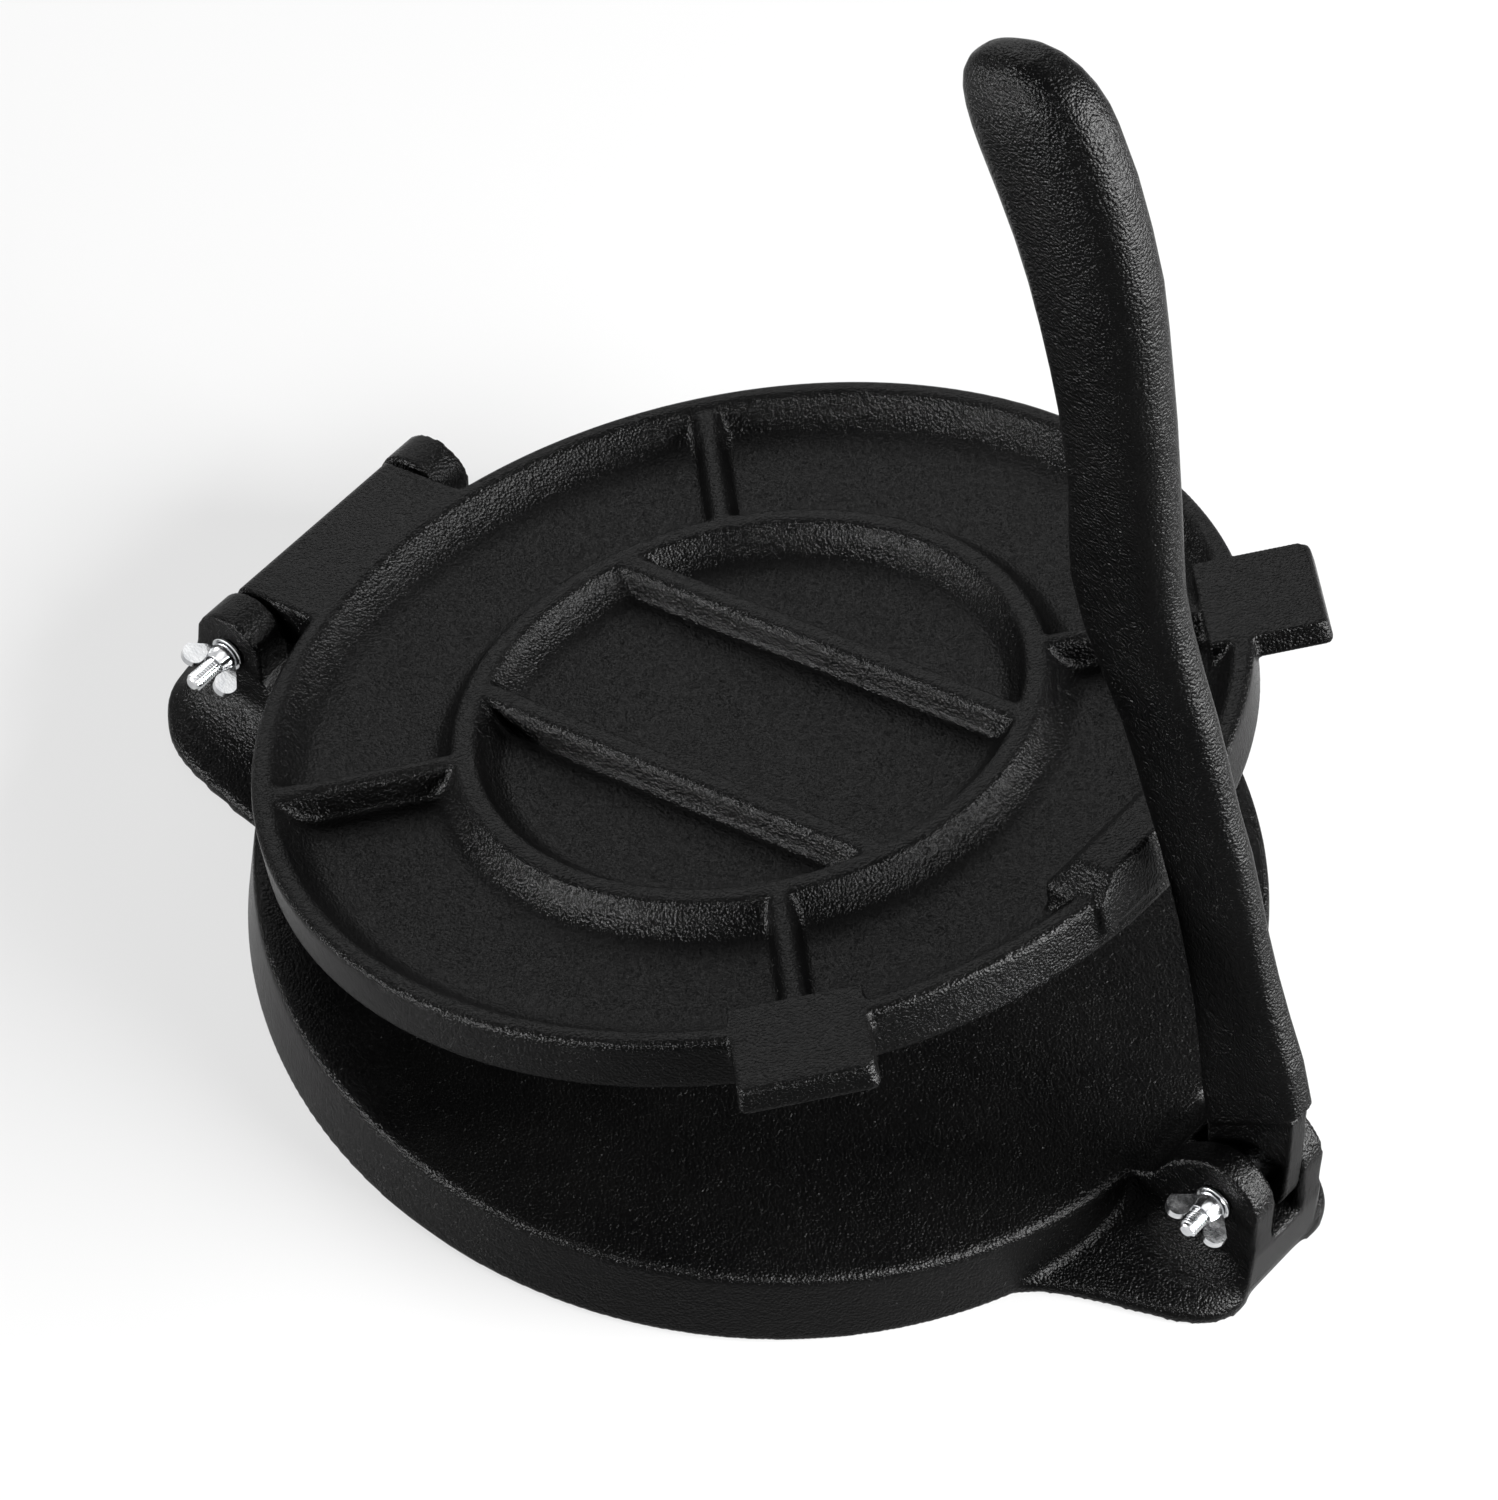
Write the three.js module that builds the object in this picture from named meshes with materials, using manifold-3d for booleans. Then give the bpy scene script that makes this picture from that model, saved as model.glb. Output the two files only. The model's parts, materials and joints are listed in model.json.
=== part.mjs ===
// Cast iron tortilla press, open a little way, lever standing behind the lid's nose.
// Millimetres. +Z up, +X towards the lever, origin on the ground under the plates' centre.
import * as THREE from 'three';
import { mergeVertices } from 'three/addons/utils/BufferGeometryUtils.js';
import Module from 'manifold-3d';

const wasm = await Module();
wasm.setup();

// how fine the round surfaces are, and how far cutters and joins run past a surface
const FINE = 76;
const COARSE = 24;
const FOOT_POINTS = 64;
const HANDLE_RING = 28;
const OVERRUN = 2;
const SLIVER = 0.02;

// clearances between pieces
const RUNNING_GAP = 0.35;
const SEAT_GAP = 0.3;
const HOLE_GAP = 0.3;

// lid
const LID_R = 130;
const LID_THICK = 15.3;
const LID_RECESS = 9;
const EDGE_ROUND = 1.4;
const RING_DROP = 1.2;
const BAR_DROP = 1.4;
const BAR_CREST_HALF = 2;
const BAR_FOOT_HALF = 6;
const RIB_DROP = 1;
const RIB_CREST_HALF = 1.9;
const RIB_FOOT_HALF = 4.2;
const RIB_ROUND = 0.5;
const OPEN_DEG = 17.5;

// the two front tabs, the lump under each, and the nose that the lever bears on
const TAB_OUT = 18;
const TAB_WIDE = 33;
const TAB_THICK = 7;
const TAB_ROUND = 1.1;
const LUMP_OUT = 7;
const LUMP_WIDE = 14;
const NOSE_LONG = 18.6;
const NOSE_HALF = 21.5;
const NOSE_HIGH = 5;

// base plate, a little wider than the lid
const PLATE_MARGIN = 3;
const PLATE_R = LID_R + PLATE_MARGIN;
const PLATE_TOP = 25;
const PLATE_FLOOR = 6;
const PLATE_EDGE = 1.6;
const SKIRT_WALL = 5;
const SKIRT_DRAFT = 1.2;
const UNDER_RING_R = 61;
const UNDER_RING_HALF = 2.2;
const UNDER_RING_FOOT = 7;
const UNDER_RIB_WIDE = 4.5;
const UNDER_RIB_COUNT = 6;

// hinge: the bolt's place behind the plate, its ears and the lid's barrel between them
const HINGE_BACK = 14.5;
const HINGE_X = -PLATE_R - HINGE_BACK;
const HINGE_Z = 31.5;
const HINGE_EAR_IN = 31.2;
const HINGE_EAR_OUT = 43;
const HINGE_EAR_R = 11.5;
const EAR_ROUND = 1.2;
const TAB_HALF = HINGE_EAR_IN - RUNNING_GAP;
const BARREL_R = 8.5;
const RIM_OVER_HINGE = 10.5;

// fork: the bolt's place in front of the plate, and the slot between its two ears
const LEVER_AHEAD = 24;
const LEVER_X = PLATE_R + LEVER_AHEAD;
const LEVER_Z = 34;
const SLOT_HALF = 5.7;
const LEVER_EAR_OUT = 14.6;
const LEVER_EAR_R = 12.7;
const SLOT_R = 13.4;

// feet: how far out they stand, how wide they are on the ground, how high the sweep goes
const HINGE_FOOT_OUT = 20.5;
const HINGE_REACH = -HINGE_X + HINGE_FOOT_OUT;
const LEVER_FOOT_OUT = 14;
const LEVER_REACH = LEVER_X + LEVER_FOOT_OUT;
const FOOT_HALF = 66;
const FLARE_TOP = 19;
const WEB_TOP = 22.4;

// lever: a thin tongue that lies against one ear, and a wide flat shank above it
const TONGUE_HALF = 3.4;
const TONGUE_R = 12.2;
const TONGUE_ROUND = 0.8;
const LEVER_Y = SLOT_HALF - RUNNING_GAP - TONGUE_HALF;
const SHOULDER_GAP = 1.3;
const SHOULDER_DEG = 42.4;
const HANDLE_LONG = 300;
const HANDLE_HALF = 19;
const HANDLE_THICK_HALF = 10.8;
const TIP_LONG = 24;
const TIP_LEAN = 4;

// fasteners
const BOLT_R = 2.5;
const BOLT_TIP = 0.6;
const HOLE_R = BOLT_R + HOLE_GAP;
const HEAD_FLATS = 8;
const HEAD_HIGH = 3.5;
const WASHER_R = 5;
const WASHER_THICK = 1;
const NUT_HUB_R = 4.1;
const NUT_HIGH = 4.6;
const NUT_SPAN = 18;
const LOBE_R = 3.1;
const LOBE_THICK = 2.2;
const LOBE_ROUND = 0.5;
const LOBE_OUT = 6.4;
const HINGE_BOLT_OUT = 15;
const LEVER_BOLT_OUT = 12.5;
const HINGE_NUT_DEG = 18;
const LEVER_NUT_DEG = 8;

function solid(geometry) {
  const g = geometry.clone();
  g.deleteAttribute('normal');
  g.deleteAttribute('uv');
  const merged = mergeVertices(g, 1e-4);
  const vertProperties = new Float32Array(merged.attributes.position.array);
  const corners = [];
  for (let i = 0; i < merged.index.count; i += 3) {
    const [a, b, c] = [0, 1, 2].map((k) => merged.index.getX(i + k));
    if (a !== b && b !== c && c !== a) corners.push(a, b, c);
  }
  const make = (list) => new wasm.Manifold(
    new wasm.Mesh({ numProp: 3, vertProperties, triVerts: new Uint32Array(list) }));
  const made = make(corners);
  if (made.volume() > 0) return made;
  return make(corners.reverse());
}

function piece(name, manifold, look) {
  const mesh = manifold.simplify(SLIVER).getMesh();
  const g = new THREE.BufferGeometry();
  g.setAttribute('position', new THREE.BufferAttribute(new Float32Array(mesh.vertProperties), 3));
  g.setIndex(new THREE.BufferAttribute(new Uint32Array(mesh.triVerts), 1));
  g.computeVertexNormals();
  const made = new THREE.Mesh(g, new THREE.MeshStandardMaterial(look));
  made.name = name;
  return made;
}

// turned about the upright axis; the profile is [radius, height] going round the section
function turned(profile) {
  const points = profile.map(([r, z]) => new THREE.Vector2(Math.max(r, 0), z));
  const g = new THREE.LatheGeometry(points, FINE);
  g.rotateX(Math.PI / 2);
  return solid(g);
}

// a side outline [x, z] pushed out across the press, from y = low to y = high
function across(outline, low, high, edge = 0) {
  const shape = new THREE.Shape(outline.map(([x, z]) => new THREE.Vector2(x, z)));
  const g = new THREE.ExtrudeGeometry(shape, {
    depth: high - low - edge - edge,
    bevelEnabled: edge > 0,
    bevelThickness: edge,
    bevelSize: edge,
    bevelOffset: -edge,
    bevelSegments: 2,
  });
  g.rotateX(Math.PI / 2);
  g.translate(0, high - edge, 0);
  return solid(g);
}

// a round bar along Y
function roundBar(x, z, radius, low, high) {
  const g = new THREE.CylinderGeometry(radius, radius, high - low, COARSE);
  g.translate(x, (low + high) / 2, z);
  return solid(g);
}

// skins a stack of closed outlines that have the same number of points
function lofted(rings) {
  const count = rings[0].length;
  const positions = rings.flat(2);
  const index = [];
  for (let k = 0; k < rings.length - 1; k += 1) {
    for (let i = 0; i < count; i += 1) {
      const a = k * count + i;
      const b = k * count + ((i + 1) % count);
      index.push(a, b, b + count, a, b + count, a + count);
    }
  }
  for (const end of [0, rings.length - 1]) {
    const middle = [0, 1, 2].map((axis) => rings[end].reduce((sum, p) => sum + p[axis], 0) / count);
    const centre = positions.length / 3;
    positions.push(...middle);
    for (let i = 0; i < count; i += 1) {
      const a = end * count + i;
      const b = end * count + ((i + 1) % count);
      if (end === 0) index.push(centre, b, a);
      else index.push(centre, a, b);
    }
  }
  const g = new THREE.BufferGeometry();
  g.setAttribute('position', new THREE.Float32BufferAttribute(positions, 3));
  g.setIndex(index);
  return solid(g);
}

// evenly spaced points on an arc, its angles in degrees
function arc(x, z, radius, fromDeg, toDeg, count) {
  return Array.from({ length: count + 1 }, (_, i) => {
    const a = THREE.MathUtils.degToRad(fromDeg + ((toDeg - fromDeg) * i) / count);
    return [x + radius * Math.cos(a), z + radius * Math.sin(a)];
  });
}

// places given as shares of one size, measured from a centre
const about = (x, z, size, shares) => shares.map(([a, b]) => [x + size * a, z + size * b]);

// half an outline, and the same half mirrored across the press
const bothSides = (half) => half.concat(half.slice().reverse().map(([x, y]) => [x, -y]));

// evenly spaced points on a smooth curve through one half of a foot and its mirror image
function wholeOutline(half, reach) {
  const path = new THREE.CatmullRomCurve3(
    bothSides(half).map(([x, y]) => new THREE.Vector3(x, y, 0)), false, 'centripetal');
  return path.getSpacedPoints(FOOT_POINTS).map((p) => [
    THREE.MathUtils.clamp(p.x, -reach, reach), p.y]);
}

// share of the flange's spread that is left at each share of the flare's height
const FLARE_SHARES = [
  [0, 0.99], [0.17, 1], [0.22, 0.97], [0.25, 0.9], [0.29, 0.76], [0.36, 0.56],
  [0.48, 0.35], [0.64, 0.17], [0.82, 0.05], [1, 0],
];

// a foot that sweeps down from the arm's sides to a thin flange on the ground
function foot(groundHalf, armHalf, reach, top) {
  const ground = wholeOutline(groundHalf, reach);
  const arm = wholeOutline(armHalf, reach);
  const rings = FLARE_SHARES.map(([high, spread]) => ground.map(([x, y], i) => [
    arm[i][0] + (x - arm[i][0]) * spread,
    arm[i][1] + (y - arm[i][1]) * spread,
    high * FLARE_TOP,
  ]));
  rings.push(arm.map(([x, y]) => [x, y, top]));
  return lofted(rings);
}

// base casting: a plate with a drafted skirt, a ring and ribs below
const skirtFoot = PLATE_R + SKIRT_DRAFT;
const skirtIn = PLATE_R - SKIRT_WALL;
const underside = PLATE_TOP - PLATE_FLOOR;
let base = turned([
  [0, PLATE_TOP], [PLATE_R - PLATE_EDGE, PLATE_TOP],
  [PLATE_R - PLATE_EDGE * 0.3, PLATE_TOP - PLATE_EDGE * 0.3],
  [PLATE_R, PLATE_TOP - PLATE_EDGE], [skirtFoot, PLATE_EDGE * 0.75],
  [skirtFoot - PLATE_EDGE * 0.5, 0], [skirtFoot - SKIRT_WALL, 0],
  [skirtIn - SKIRT_WALL * 0.2, underside - SKIRT_WALL * 0.6],
  [skirtIn - SKIRT_WALL * 0.8, underside],
  [UNDER_RING_R + UNDER_RING_HALF * 1.8, underside],
  [UNDER_RING_R + UNDER_RING_HALF, UNDER_RING_FOOT],
  [UNDER_RING_R - UNDER_RING_HALF, UNDER_RING_FOOT],
  [UNDER_RING_R - UNDER_RING_HALF * 1.8, underside], [0, underside],
]);

for (let i = 0; i < UNDER_RIB_COUNT; i += 1) {
  const long = skirtIn - UNDER_RING_R + OVERRUN;
  const high = underside - UNDER_RING_FOOT + OVERRUN;
  const g = new THREE.BoxGeometry(long, UNDER_RIB_WIDE, high);
  g.translate(UNDER_RING_R + long / 2, 0, UNDER_RING_FOOT + high / 2);
  g.rotateZ(((i + 0.5) * 2 * Math.PI) / UNDER_RIB_COUNT);
  base = base.add(solid(g));
}

// shares of the way out from the foot's root, and of its half width
const HINGE_GROUND_SHARES = [
  [0, 1], [0.267, 0.977], [0.5, 0.952], [0.667, 0.921], [0.783, 0.873], [0.883, 0.794],
  [0.953, 0.705], [0.987, 0.598], [1, 0.455], [1, 0.182],
];
const HINGE_ARM_SHARES = [
  [0, 0.991], [0.303, 0.991], [0.568, 0.991], [0.758, 0.991], [0.852, 0.988], [0.928, 0.981],
  [0.977, 0.953], [0.996, 0.884], [1, 0.698], [1, 0.279],
];
const LEVER_GROUND_SHARES = [
  [0, 1], [0.125, 0.917], [0.25, 0.815], [0.391, 0.688], [0.5625, 0.588], [0.734, 0.509],
  [0.883, 0.433], [0.963, 0.355], [1, 0.25], [0.98, 0.121],
];
const LEVER_ARM_SHARES = [
  [0, 2.39], [0.125, 1.9], [0.25, 1.444], [0.391, 1.085], [0.5625, 0.979], [0.734, 0.979],
  [0.883, 0.972], [0.96, 0.944], [0.99, 0.74], [0.985, 0.352],
];
const spread = (root, end, half, shares) => shares.map(([on, wide]) => [
  root + (end - root) * on, half * wide]);

// hinge side: flared foot, web and two ears
const footRoot = PLATE_R - SKIRT_WALL * 5;
const earBack = HINGE_X - HINGE_EAR_R;
const hingeFoot = foot(
  spread(-footRoot, -HINGE_REACH, FOOT_HALF, HINGE_GROUND_SHARES),
  spread(-footRoot, earBack - EAR_ROUND * 1.5, HINGE_EAR_OUT, HINGE_ARM_SHARES),
  HINGE_REACH, WEB_TOP);
const earRoot = SKIRT_WALL - PLATE_R;
const hingeEarOutline = [
  [earRoot, PLATE_EDGE], [earRoot, PLATE_TOP - PLATE_EDGE * 0.5],
  [-PLATE_R, PLATE_TOP - PLATE_EDGE * 0.25],
  ...about(HINGE_X, HINGE_Z, HINGE_EAR_R, [[0.983, -0.348]]),
  ...arc(HINGE_X, HINGE_Z, HINGE_EAR_R, 18, 180, 18),
  [earBack - EAR_ROUND, HINGE_Z / 2], [earBack - EAR_ROUND * 1.4, PLATE_EDGE],
];
const hingeEars = [
  across(hingeEarOutline, HINGE_EAR_IN, HINGE_EAR_OUT, EAR_ROUND),
  across(hingeEarOutline, -HINGE_EAR_OUT, -HINGE_EAR_IN, EAR_ROUND),
];

// lever side: flared foot and a forked arm that rises to the two ears
const slotFloor = LEVER_Z - SLOT_R;
const leverFoot = foot(
  spread(footRoot - SKIRT_WALL, LEVER_REACH, FOOT_HALF, LEVER_GROUND_SHARES),
  spread(footRoot - SKIRT_WALL, LEVER_REACH, LEVER_EAR_OUT, LEVER_ARM_SHARES),
  LEVER_REACH, slotFloor - EAR_ROUND);
const armRoot = PLATE_R - SKIRT_WALL * 3;
const arm = across([
  [armRoot, SKIRT_WALL], [armRoot, PLATE_TOP - EAR_ROUND * 2],
  [PLATE_R - SKIRT_WALL, PLATE_TOP - EAR_ROUND], [PLATE_R, PLATE_TOP - EAR_ROUND * 0.5],
  ...about(LEVER_X, LEVER_Z, LEVER_EAR_R, [
    [-1.53, -0.47], [-1.355, -0.08], [-1.1, 0.36], [-0.85, 0.6]]),
  ...arc(LEVER_X, LEVER_Z, LEVER_EAR_R, 128, 8, 14),
  ...about(LEVER_X, LEVER_Z, LEVER_EAR_R, [[1.04, -0.55], [1.09, -1.1]]),
  [LEVER_X + LEVER_EAR_R * 1.09, SKIRT_WALL],
], -LEVER_EAR_OUT, LEVER_EAR_OUT, EAR_ROUND);
const slot = across([
  [LEVER_REACH + OVERRUN, slotFloor],
  ...arc(LEVER_X, LEVER_Z, SLOT_R, -90, -150, 8),
  ...about(LEVER_X, LEVER_Z, SLOT_R, [[-1.224, -0.19], [-1.27, 0.15], [-1.31, 2]]),
  [LEVER_REACH + OVERRUN, LEVER_Z + SLOT_R * 2],
], -SLOT_HALF, SLOT_HALF);

// the feet stop inside the skirt's wall, so the plate stays open from below
const plateHollow = turned([
  [0, -OVERRUN], [skirtFoot - SKIRT_WALL * 0.7, -OVERRUN],
  [skirtIn - SKIRT_WALL * 0.2, underside + PLATE_FLOOR / 6], [0, underside + PLATE_FLOOR / 6],
]);

// each foot is cored from below, its walls about as thick as the skirt's
function core(from, to, half, roof) {
  return across([
    [from, -OVERRUN], [to, -OVERRUN], [to - EAR_ROUND, roof], [from + EAR_ROUND, roof],
  ], -half, half);
}
const hingeCore = core(HINGE_X - HINGE_EAR_R * 0.56, -PLATE_R - SKIRT_WALL * 0.8,
  HINGE_EAR_IN - SKIRT_WALL, WEB_TOP - PLATE_FLOOR);
const leverCore = core(PLATE_R + SKIRT_WALL * 1.2, LEVER_X + SKIRT_WALL,
  LEVER_EAR_OUT - SKIRT_WALL, slotFloor - PLATE_FLOOR);
let arms = hingeFoot.add(leverFoot).add(arm).add(hingeEars[0]).add(hingeEars[1]);
arms = arms.subtract(slot).subtract(plateHollow).subtract(hingeCore).subtract(leverCore);
base = base.add(arms);
base = base.subtract(roundBar(HINGE_X, HINGE_Z, HOLE_R, -PLATE_R, PLATE_R));
base = base.subtract(roundBar(LEVER_X, LEVER_Z, HOLE_R, -PLATE_R, PLATE_R));

// lid casting, drawn closed with its rim's top at height 0: radii are shares of the lid's own
const rimIn = LID_R * 0.962;
const floorOut = LID_R * 0.885;
const ringOutFoot = LID_R * 0.638;
const ringOut = LID_R * 0.59;
const ringIn = LID_R * 0.555;
const ringInFoot = LID_R * 0.505;

// shares of the way from a slope's upper edge to its foot, and of its drop
const RIM_SLOPE_SHARES = [
  [-0.06, 0], [0.05, 0.056], [0.18, 0.244], [0.48, 0.6], [0.76, 0.844], [1.1, 0.967], [1.5, 1],
];
const RING_SLOPE_SHARES = [[0, 0], [0.13, 0.1], [0.4, 0.49], [0.96, 0.9], [1.32, 1]];
const slope = (from, to, drop, shares) => shares.map(([on, down]) => [
  from + (to - from) * on, -drop - (LID_RECESS - drop) * down]);
let lid = turned([
  [0, -LID_THICK], [LID_R - EDGE_ROUND, -LID_THICK],
  [LID_R - EDGE_ROUND * 0.3, EDGE_ROUND * 0.3 - LID_THICK], [LID_R, EDGE_ROUND - LID_THICK],
  [LID_R, -EDGE_ROUND], [LID_R - EDGE_ROUND * 0.3, -EDGE_ROUND * 0.3], [LID_R - EDGE_ROUND, 0],
  ...slope(rimIn, floorOut, 0, RIM_SLOPE_SHARES),
  ...slope(ringOut, ringOutFoot, RING_DROP, RING_SLOPE_SHARES).reverse(),
  ...slope(ringIn, ringInFoot, RING_DROP, RING_SLOPE_SHARES),
  [0, -LID_RECESS],
]);

// a straight rib with drafted sides from a to b; flare widens its end at b
function rib(a, b, crestHalf, footHalf, drop, flare) {
  const along = new THREE.Vector2(b[0] - a[0], b[1] - a[1]);
  const side = new THREE.Vector2(-along.y, along.x).normalize();
  const low = RIB_ROUND * 0.8 - LID_RECESS;
  const half = [
    [footHalf, -LID_RECESS - OVERRUN], [footHalf, low],
    [crestHalf + RIB_ROUND * 1.8, -drop - RIB_ROUND * 3.2],
    [crestHalf, -drop - RIB_ROUND * 0.8], [crestHalf - RIB_ROUND, -drop],
  ];
  const section = half.concat(half.slice().reverse().map(([s, z]) => [-s, z]));
  const widthShares = flare > 1 ? [[0, 1], [0.72, 1], [0.88, (1 + flare) / 2], [1, flare]]
    : [[0, 1], [1, 1]];
  return lofted(widthShares.map(([on, wide]) => section.map(([s, z]) => [
    a[0] + along.x * on + side.x * s * wide, a[1] + along.y * on + side.y * s * wide, z])));
}

const barY = LID_R * 0.224;
const barReach = Math.sqrt(ringIn * ringIn - barY * barY);
for (const y of [barY, -barY]) {
  lid = lid.add(rib([-barReach, y], [barReach, y], BAR_CREST_HALF, BAR_FOOT_HALF, BAR_DROP, 1));
}
const RIB_FLARE_SHARE = 1.7;
for (const deg of [45, 135, 225, 315]) {
  const way = new THREE.Vector2(1, 0).rotateAround(
    new THREE.Vector2(), THREE.MathUtils.degToRad(deg));
  const start = way.clone().multiplyScalar(ringOut - EDGE_ROUND);
  const end = way.clone().multiplyScalar(rimIn + EDGE_ROUND);
  lid = lid.add(rib(start.toArray(), end.toArray(), RIB_CREST_HALF, RIB_FOOT_HALF, RIB_DROP,
    RIB_FLARE_SHARE));
}

// front tabs: flat plates level with the rim, with a small lump below
const tabEnd = LID_R + TAB_OUT;
const lumpDrop = LID_THICK * 0.82;
const tabPlan = bothSides([
  [LID_R * 0.905, -TAB_WIDE / 2], [tabEnd - TAB_ROUND * 1.5, -TAB_WIDE / 2],
  [tabEnd - TAB_ROUND * 0.4, TAB_ROUND * 0.5 - TAB_WIDE / 2],
  [tabEnd, TAB_ROUND * 1.6 - TAB_WIDE / 2],
]);
const tabLevels = [
  [-TAB_THICK, TAB_ROUND * 0.5], [TAB_ROUND * 0.6 - TAB_THICK, TAB_ROUND],
  [-TAB_ROUND * 0.8, TAB_ROUND * 0.3], [0, -TAB_ROUND * 0.5],
];
for (const deg of [45, -45]) {
  const rings = tabLevels.map(([z, grow]) => tabPlan.map(([x, y]) => [
    x + (x > LID_R ? grow : 0), y + Math.sign(y) * grow, z]));
  const lump = across([
    [LID_R - LUMP_OUT, -TAB_THICK / 2], [LID_R + LUMP_OUT, -TAB_THICK / 2],
    [LID_R + LUMP_OUT * 0.36, -lumpDrop], [LID_R - LUMP_OUT, -lumpDrop - EDGE_ROUND * 0.7],
  ], -LUMP_WIDE / 2, LUMP_WIDE / 2, EAR_ROUND);
  lid = lid.add(lofted(rings).add(lump).rotate([0, 0, deg]));
}

// nose: the lever bears on its rounded top; shares of its length, half width and height
const NOSE_FOOT_SHARES = [[0, 0.977], [0.645, 1], [1, 0.977]];
const NOSE_CREST_SHARES = [[0.323, 0.651], [0.645, 0.674], [0.957, 0.651]];
const NOSE_LEVEL_SHARES = [
  [-2, 0], [-0.2, 0.05], [0.12, 0.3], [0.48, 0.66], [0.8, 0.92], [0.96, 1.06], [1, 1.2],
];
const noseOut = LID_R + EDGE_ROUND / 2;
const [noseFoot, noseCrest] = [NOSE_FOOT_SHARES, NOSE_CREST_SHARES].map((shares) => bothSides(
  spread(noseOut - NOSE_LONG, noseOut, NOSE_HALF, shares)));
lid = lid.add(lofted(NOSE_LEVEL_SHARES.map(([high, on]) => noseFoot.map(([x, y], i) => [
  x + (noseCrest[i][0] - x) * on, y + (noseCrest[i][1] - y) * on, high * NOSE_HIGH]))));

// hinge tab: it leaves the rim, stays flat on top and ends in the barrel round the bolt
const barrelZ = -RIM_OVER_HINGE;
const tabRoot = -rimIn - EDGE_ROUND * 0.7;
const tabOutline = [
  [tabRoot, -SLIVER],
  ...about(HINGE_X, -SLIVER, BARREL_R, [[-0.459, 0], [-0.694, -0.118], [-0.835, -0.353]]),
  ...arc(HINGE_X, barrelZ, BARREL_R, 172, 330, 20),
  ...about(HINGE_X, barrelZ, BARREL_R, [[1.588, -0.224]]), [tabRoot, barrelZ - BARREL_R / 4],
];
lid = lid.add(across(tabOutline, -TAB_HALF, TAB_HALF, EAR_ROUND));
lid = lid.subtract(roundBar(HINGE_X, barrelZ, HOLE_R, -PLATE_R, PLATE_R));
const pressIn = LID_R - EDGE_ROUND * 2;
lid = lid.subtract(turned([
  [0, -LID_THICK - NOSE_HIGH], [pressIn, -LID_THICK - NOSE_HIGH], [pressIn, -LID_THICK],
  [0, -LID_THICK],
]));

// lever: shares of its length from the bolt (x, height), of its half width and half thickness,
// then the squareness of the section there
const HANDLE_SHARES = [
  [0.0087, 0.03, 0.8, 0.486, 6], [-0.0073, 0.0813, 0.805, 0.491, 5],
  [-0.022, 0.1367, 0.768, 0.5, 4], [-0.037, 0.1783, 0.705, 0.509, 3.6],
  [-0.0517, 0.2197, 0.663, 0.519, 3.3], [-0.0663, 0.2613, 0.653, 0.528, 3],
  [-0.0813, 0.303, 0.668, 0.537, 2.9], [-0.097, 0.3447, 0.684, 0.556, 2.8],
  [-0.1157, 0.3863, 0.684, 0.583, 2.7], [-0.1323, 0.4277, 0.7, 0.611, 2.6],
  [-0.1503, 0.4693, 0.715, 0.648, 2.6], [-0.172, 0.5107, 0.753, 0.685, 2.6],
  [-0.1917, 0.5513, 0.8, 0.722, 2.5], [-0.2073, 0.594, 0.816, 0.759, 2.5],
  [-0.2147, 0.638, 0.79, 0.796, 2.5], [-0.221, 0.682, 0.765, 0.833, 2.5],
  [-0.2297, 0.7253, 0.77, 0.861, 2.5], [-0.2393, 0.769, 0.79, 0.889, 2.5],
  [-0.2507, 0.812, 0.821, 0.926, 2.5], [-0.263, 0.8547, 0.863, 0.963, 2.5],
  [-0.2763, 0.8967, 0.911, 0.991, 2.5], [-0.2933, 0.9377, 0.945, 1, 2.5],
  [-0.313, 0.9777, 0.985, 1, 2.5], [-0.3347, 1.0147, 1, 0.981, 2.5],
];
// the rounded end: how far on along the last direction, and the shares of width and thickness
const TIP_SHARES = [
  [0.22, 0.985, 0.985], [0.44, 0.93, 0.94], [0.62, 0.85, 0.86], [0.78, 0.72, 0.74],
  [0.9, 0.54, 0.57], [0.97, 0.33, 0.36], [1, 0.12, 0.14],
];

function handleRing(x, z, side, half, thick, square) {
  return Array.from({ length: HANDLE_RING }, (_, i) => {
    const a = (2 * Math.PI * (i + 0.5)) / HANDLE_RING;
    const [c, s] = [Math.cos(a), Math.sin(a)];
    const reach = (Math.abs(c) ** square + Math.abs(s) ** square) ** (-1 / square);
    return [x + side.x * half * c * reach, LEVER_Y + thick * s * reach,
      z + side.y * half * c * reach];
  });
}

const stations = HANDLE_SHARES.map(([x, z, half, thick, square]) => ({
  at: new THREE.Vector2(LEVER_X + HANDLE_LONG * x, LEVER_Z + HANDLE_LONG * z),
  half: HANDLE_HALF * half,
  thick: HANDLE_THICK_HALF * thick,
  square,
}));
const last = stations[stations.length - 1];
const ways = stations.map((_, k) => stations[Math.min(k + 1, stations.length - 1)].at.clone()
  .sub(stations[Math.max(k - 1, 0)].at).normalize());
const sideOf = (way) => new THREE.Vector2(way.y, -way.x);
const rings = stations.map(({ at, half, thick, square }, k) => handleRing(
  at.x, at.y, sideOf(ways[k]), half, thick, square));
const tipWay = ways[ways.length - 1];
for (const [on, wide, thin] of TIP_SHARES) {
  const at = last.at.clone().addScaledVector(tipWay, TIP_LONG * on)
    .addScaledVector(sideOf(tipWay), -TIP_LEAN * on * on);
  rings.push(handleRing(at.x, at.y, sideOf(tipWay), last.half * wide, last.thick * thin,
    last.square));
}
let handle = lofted(rings);

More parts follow.
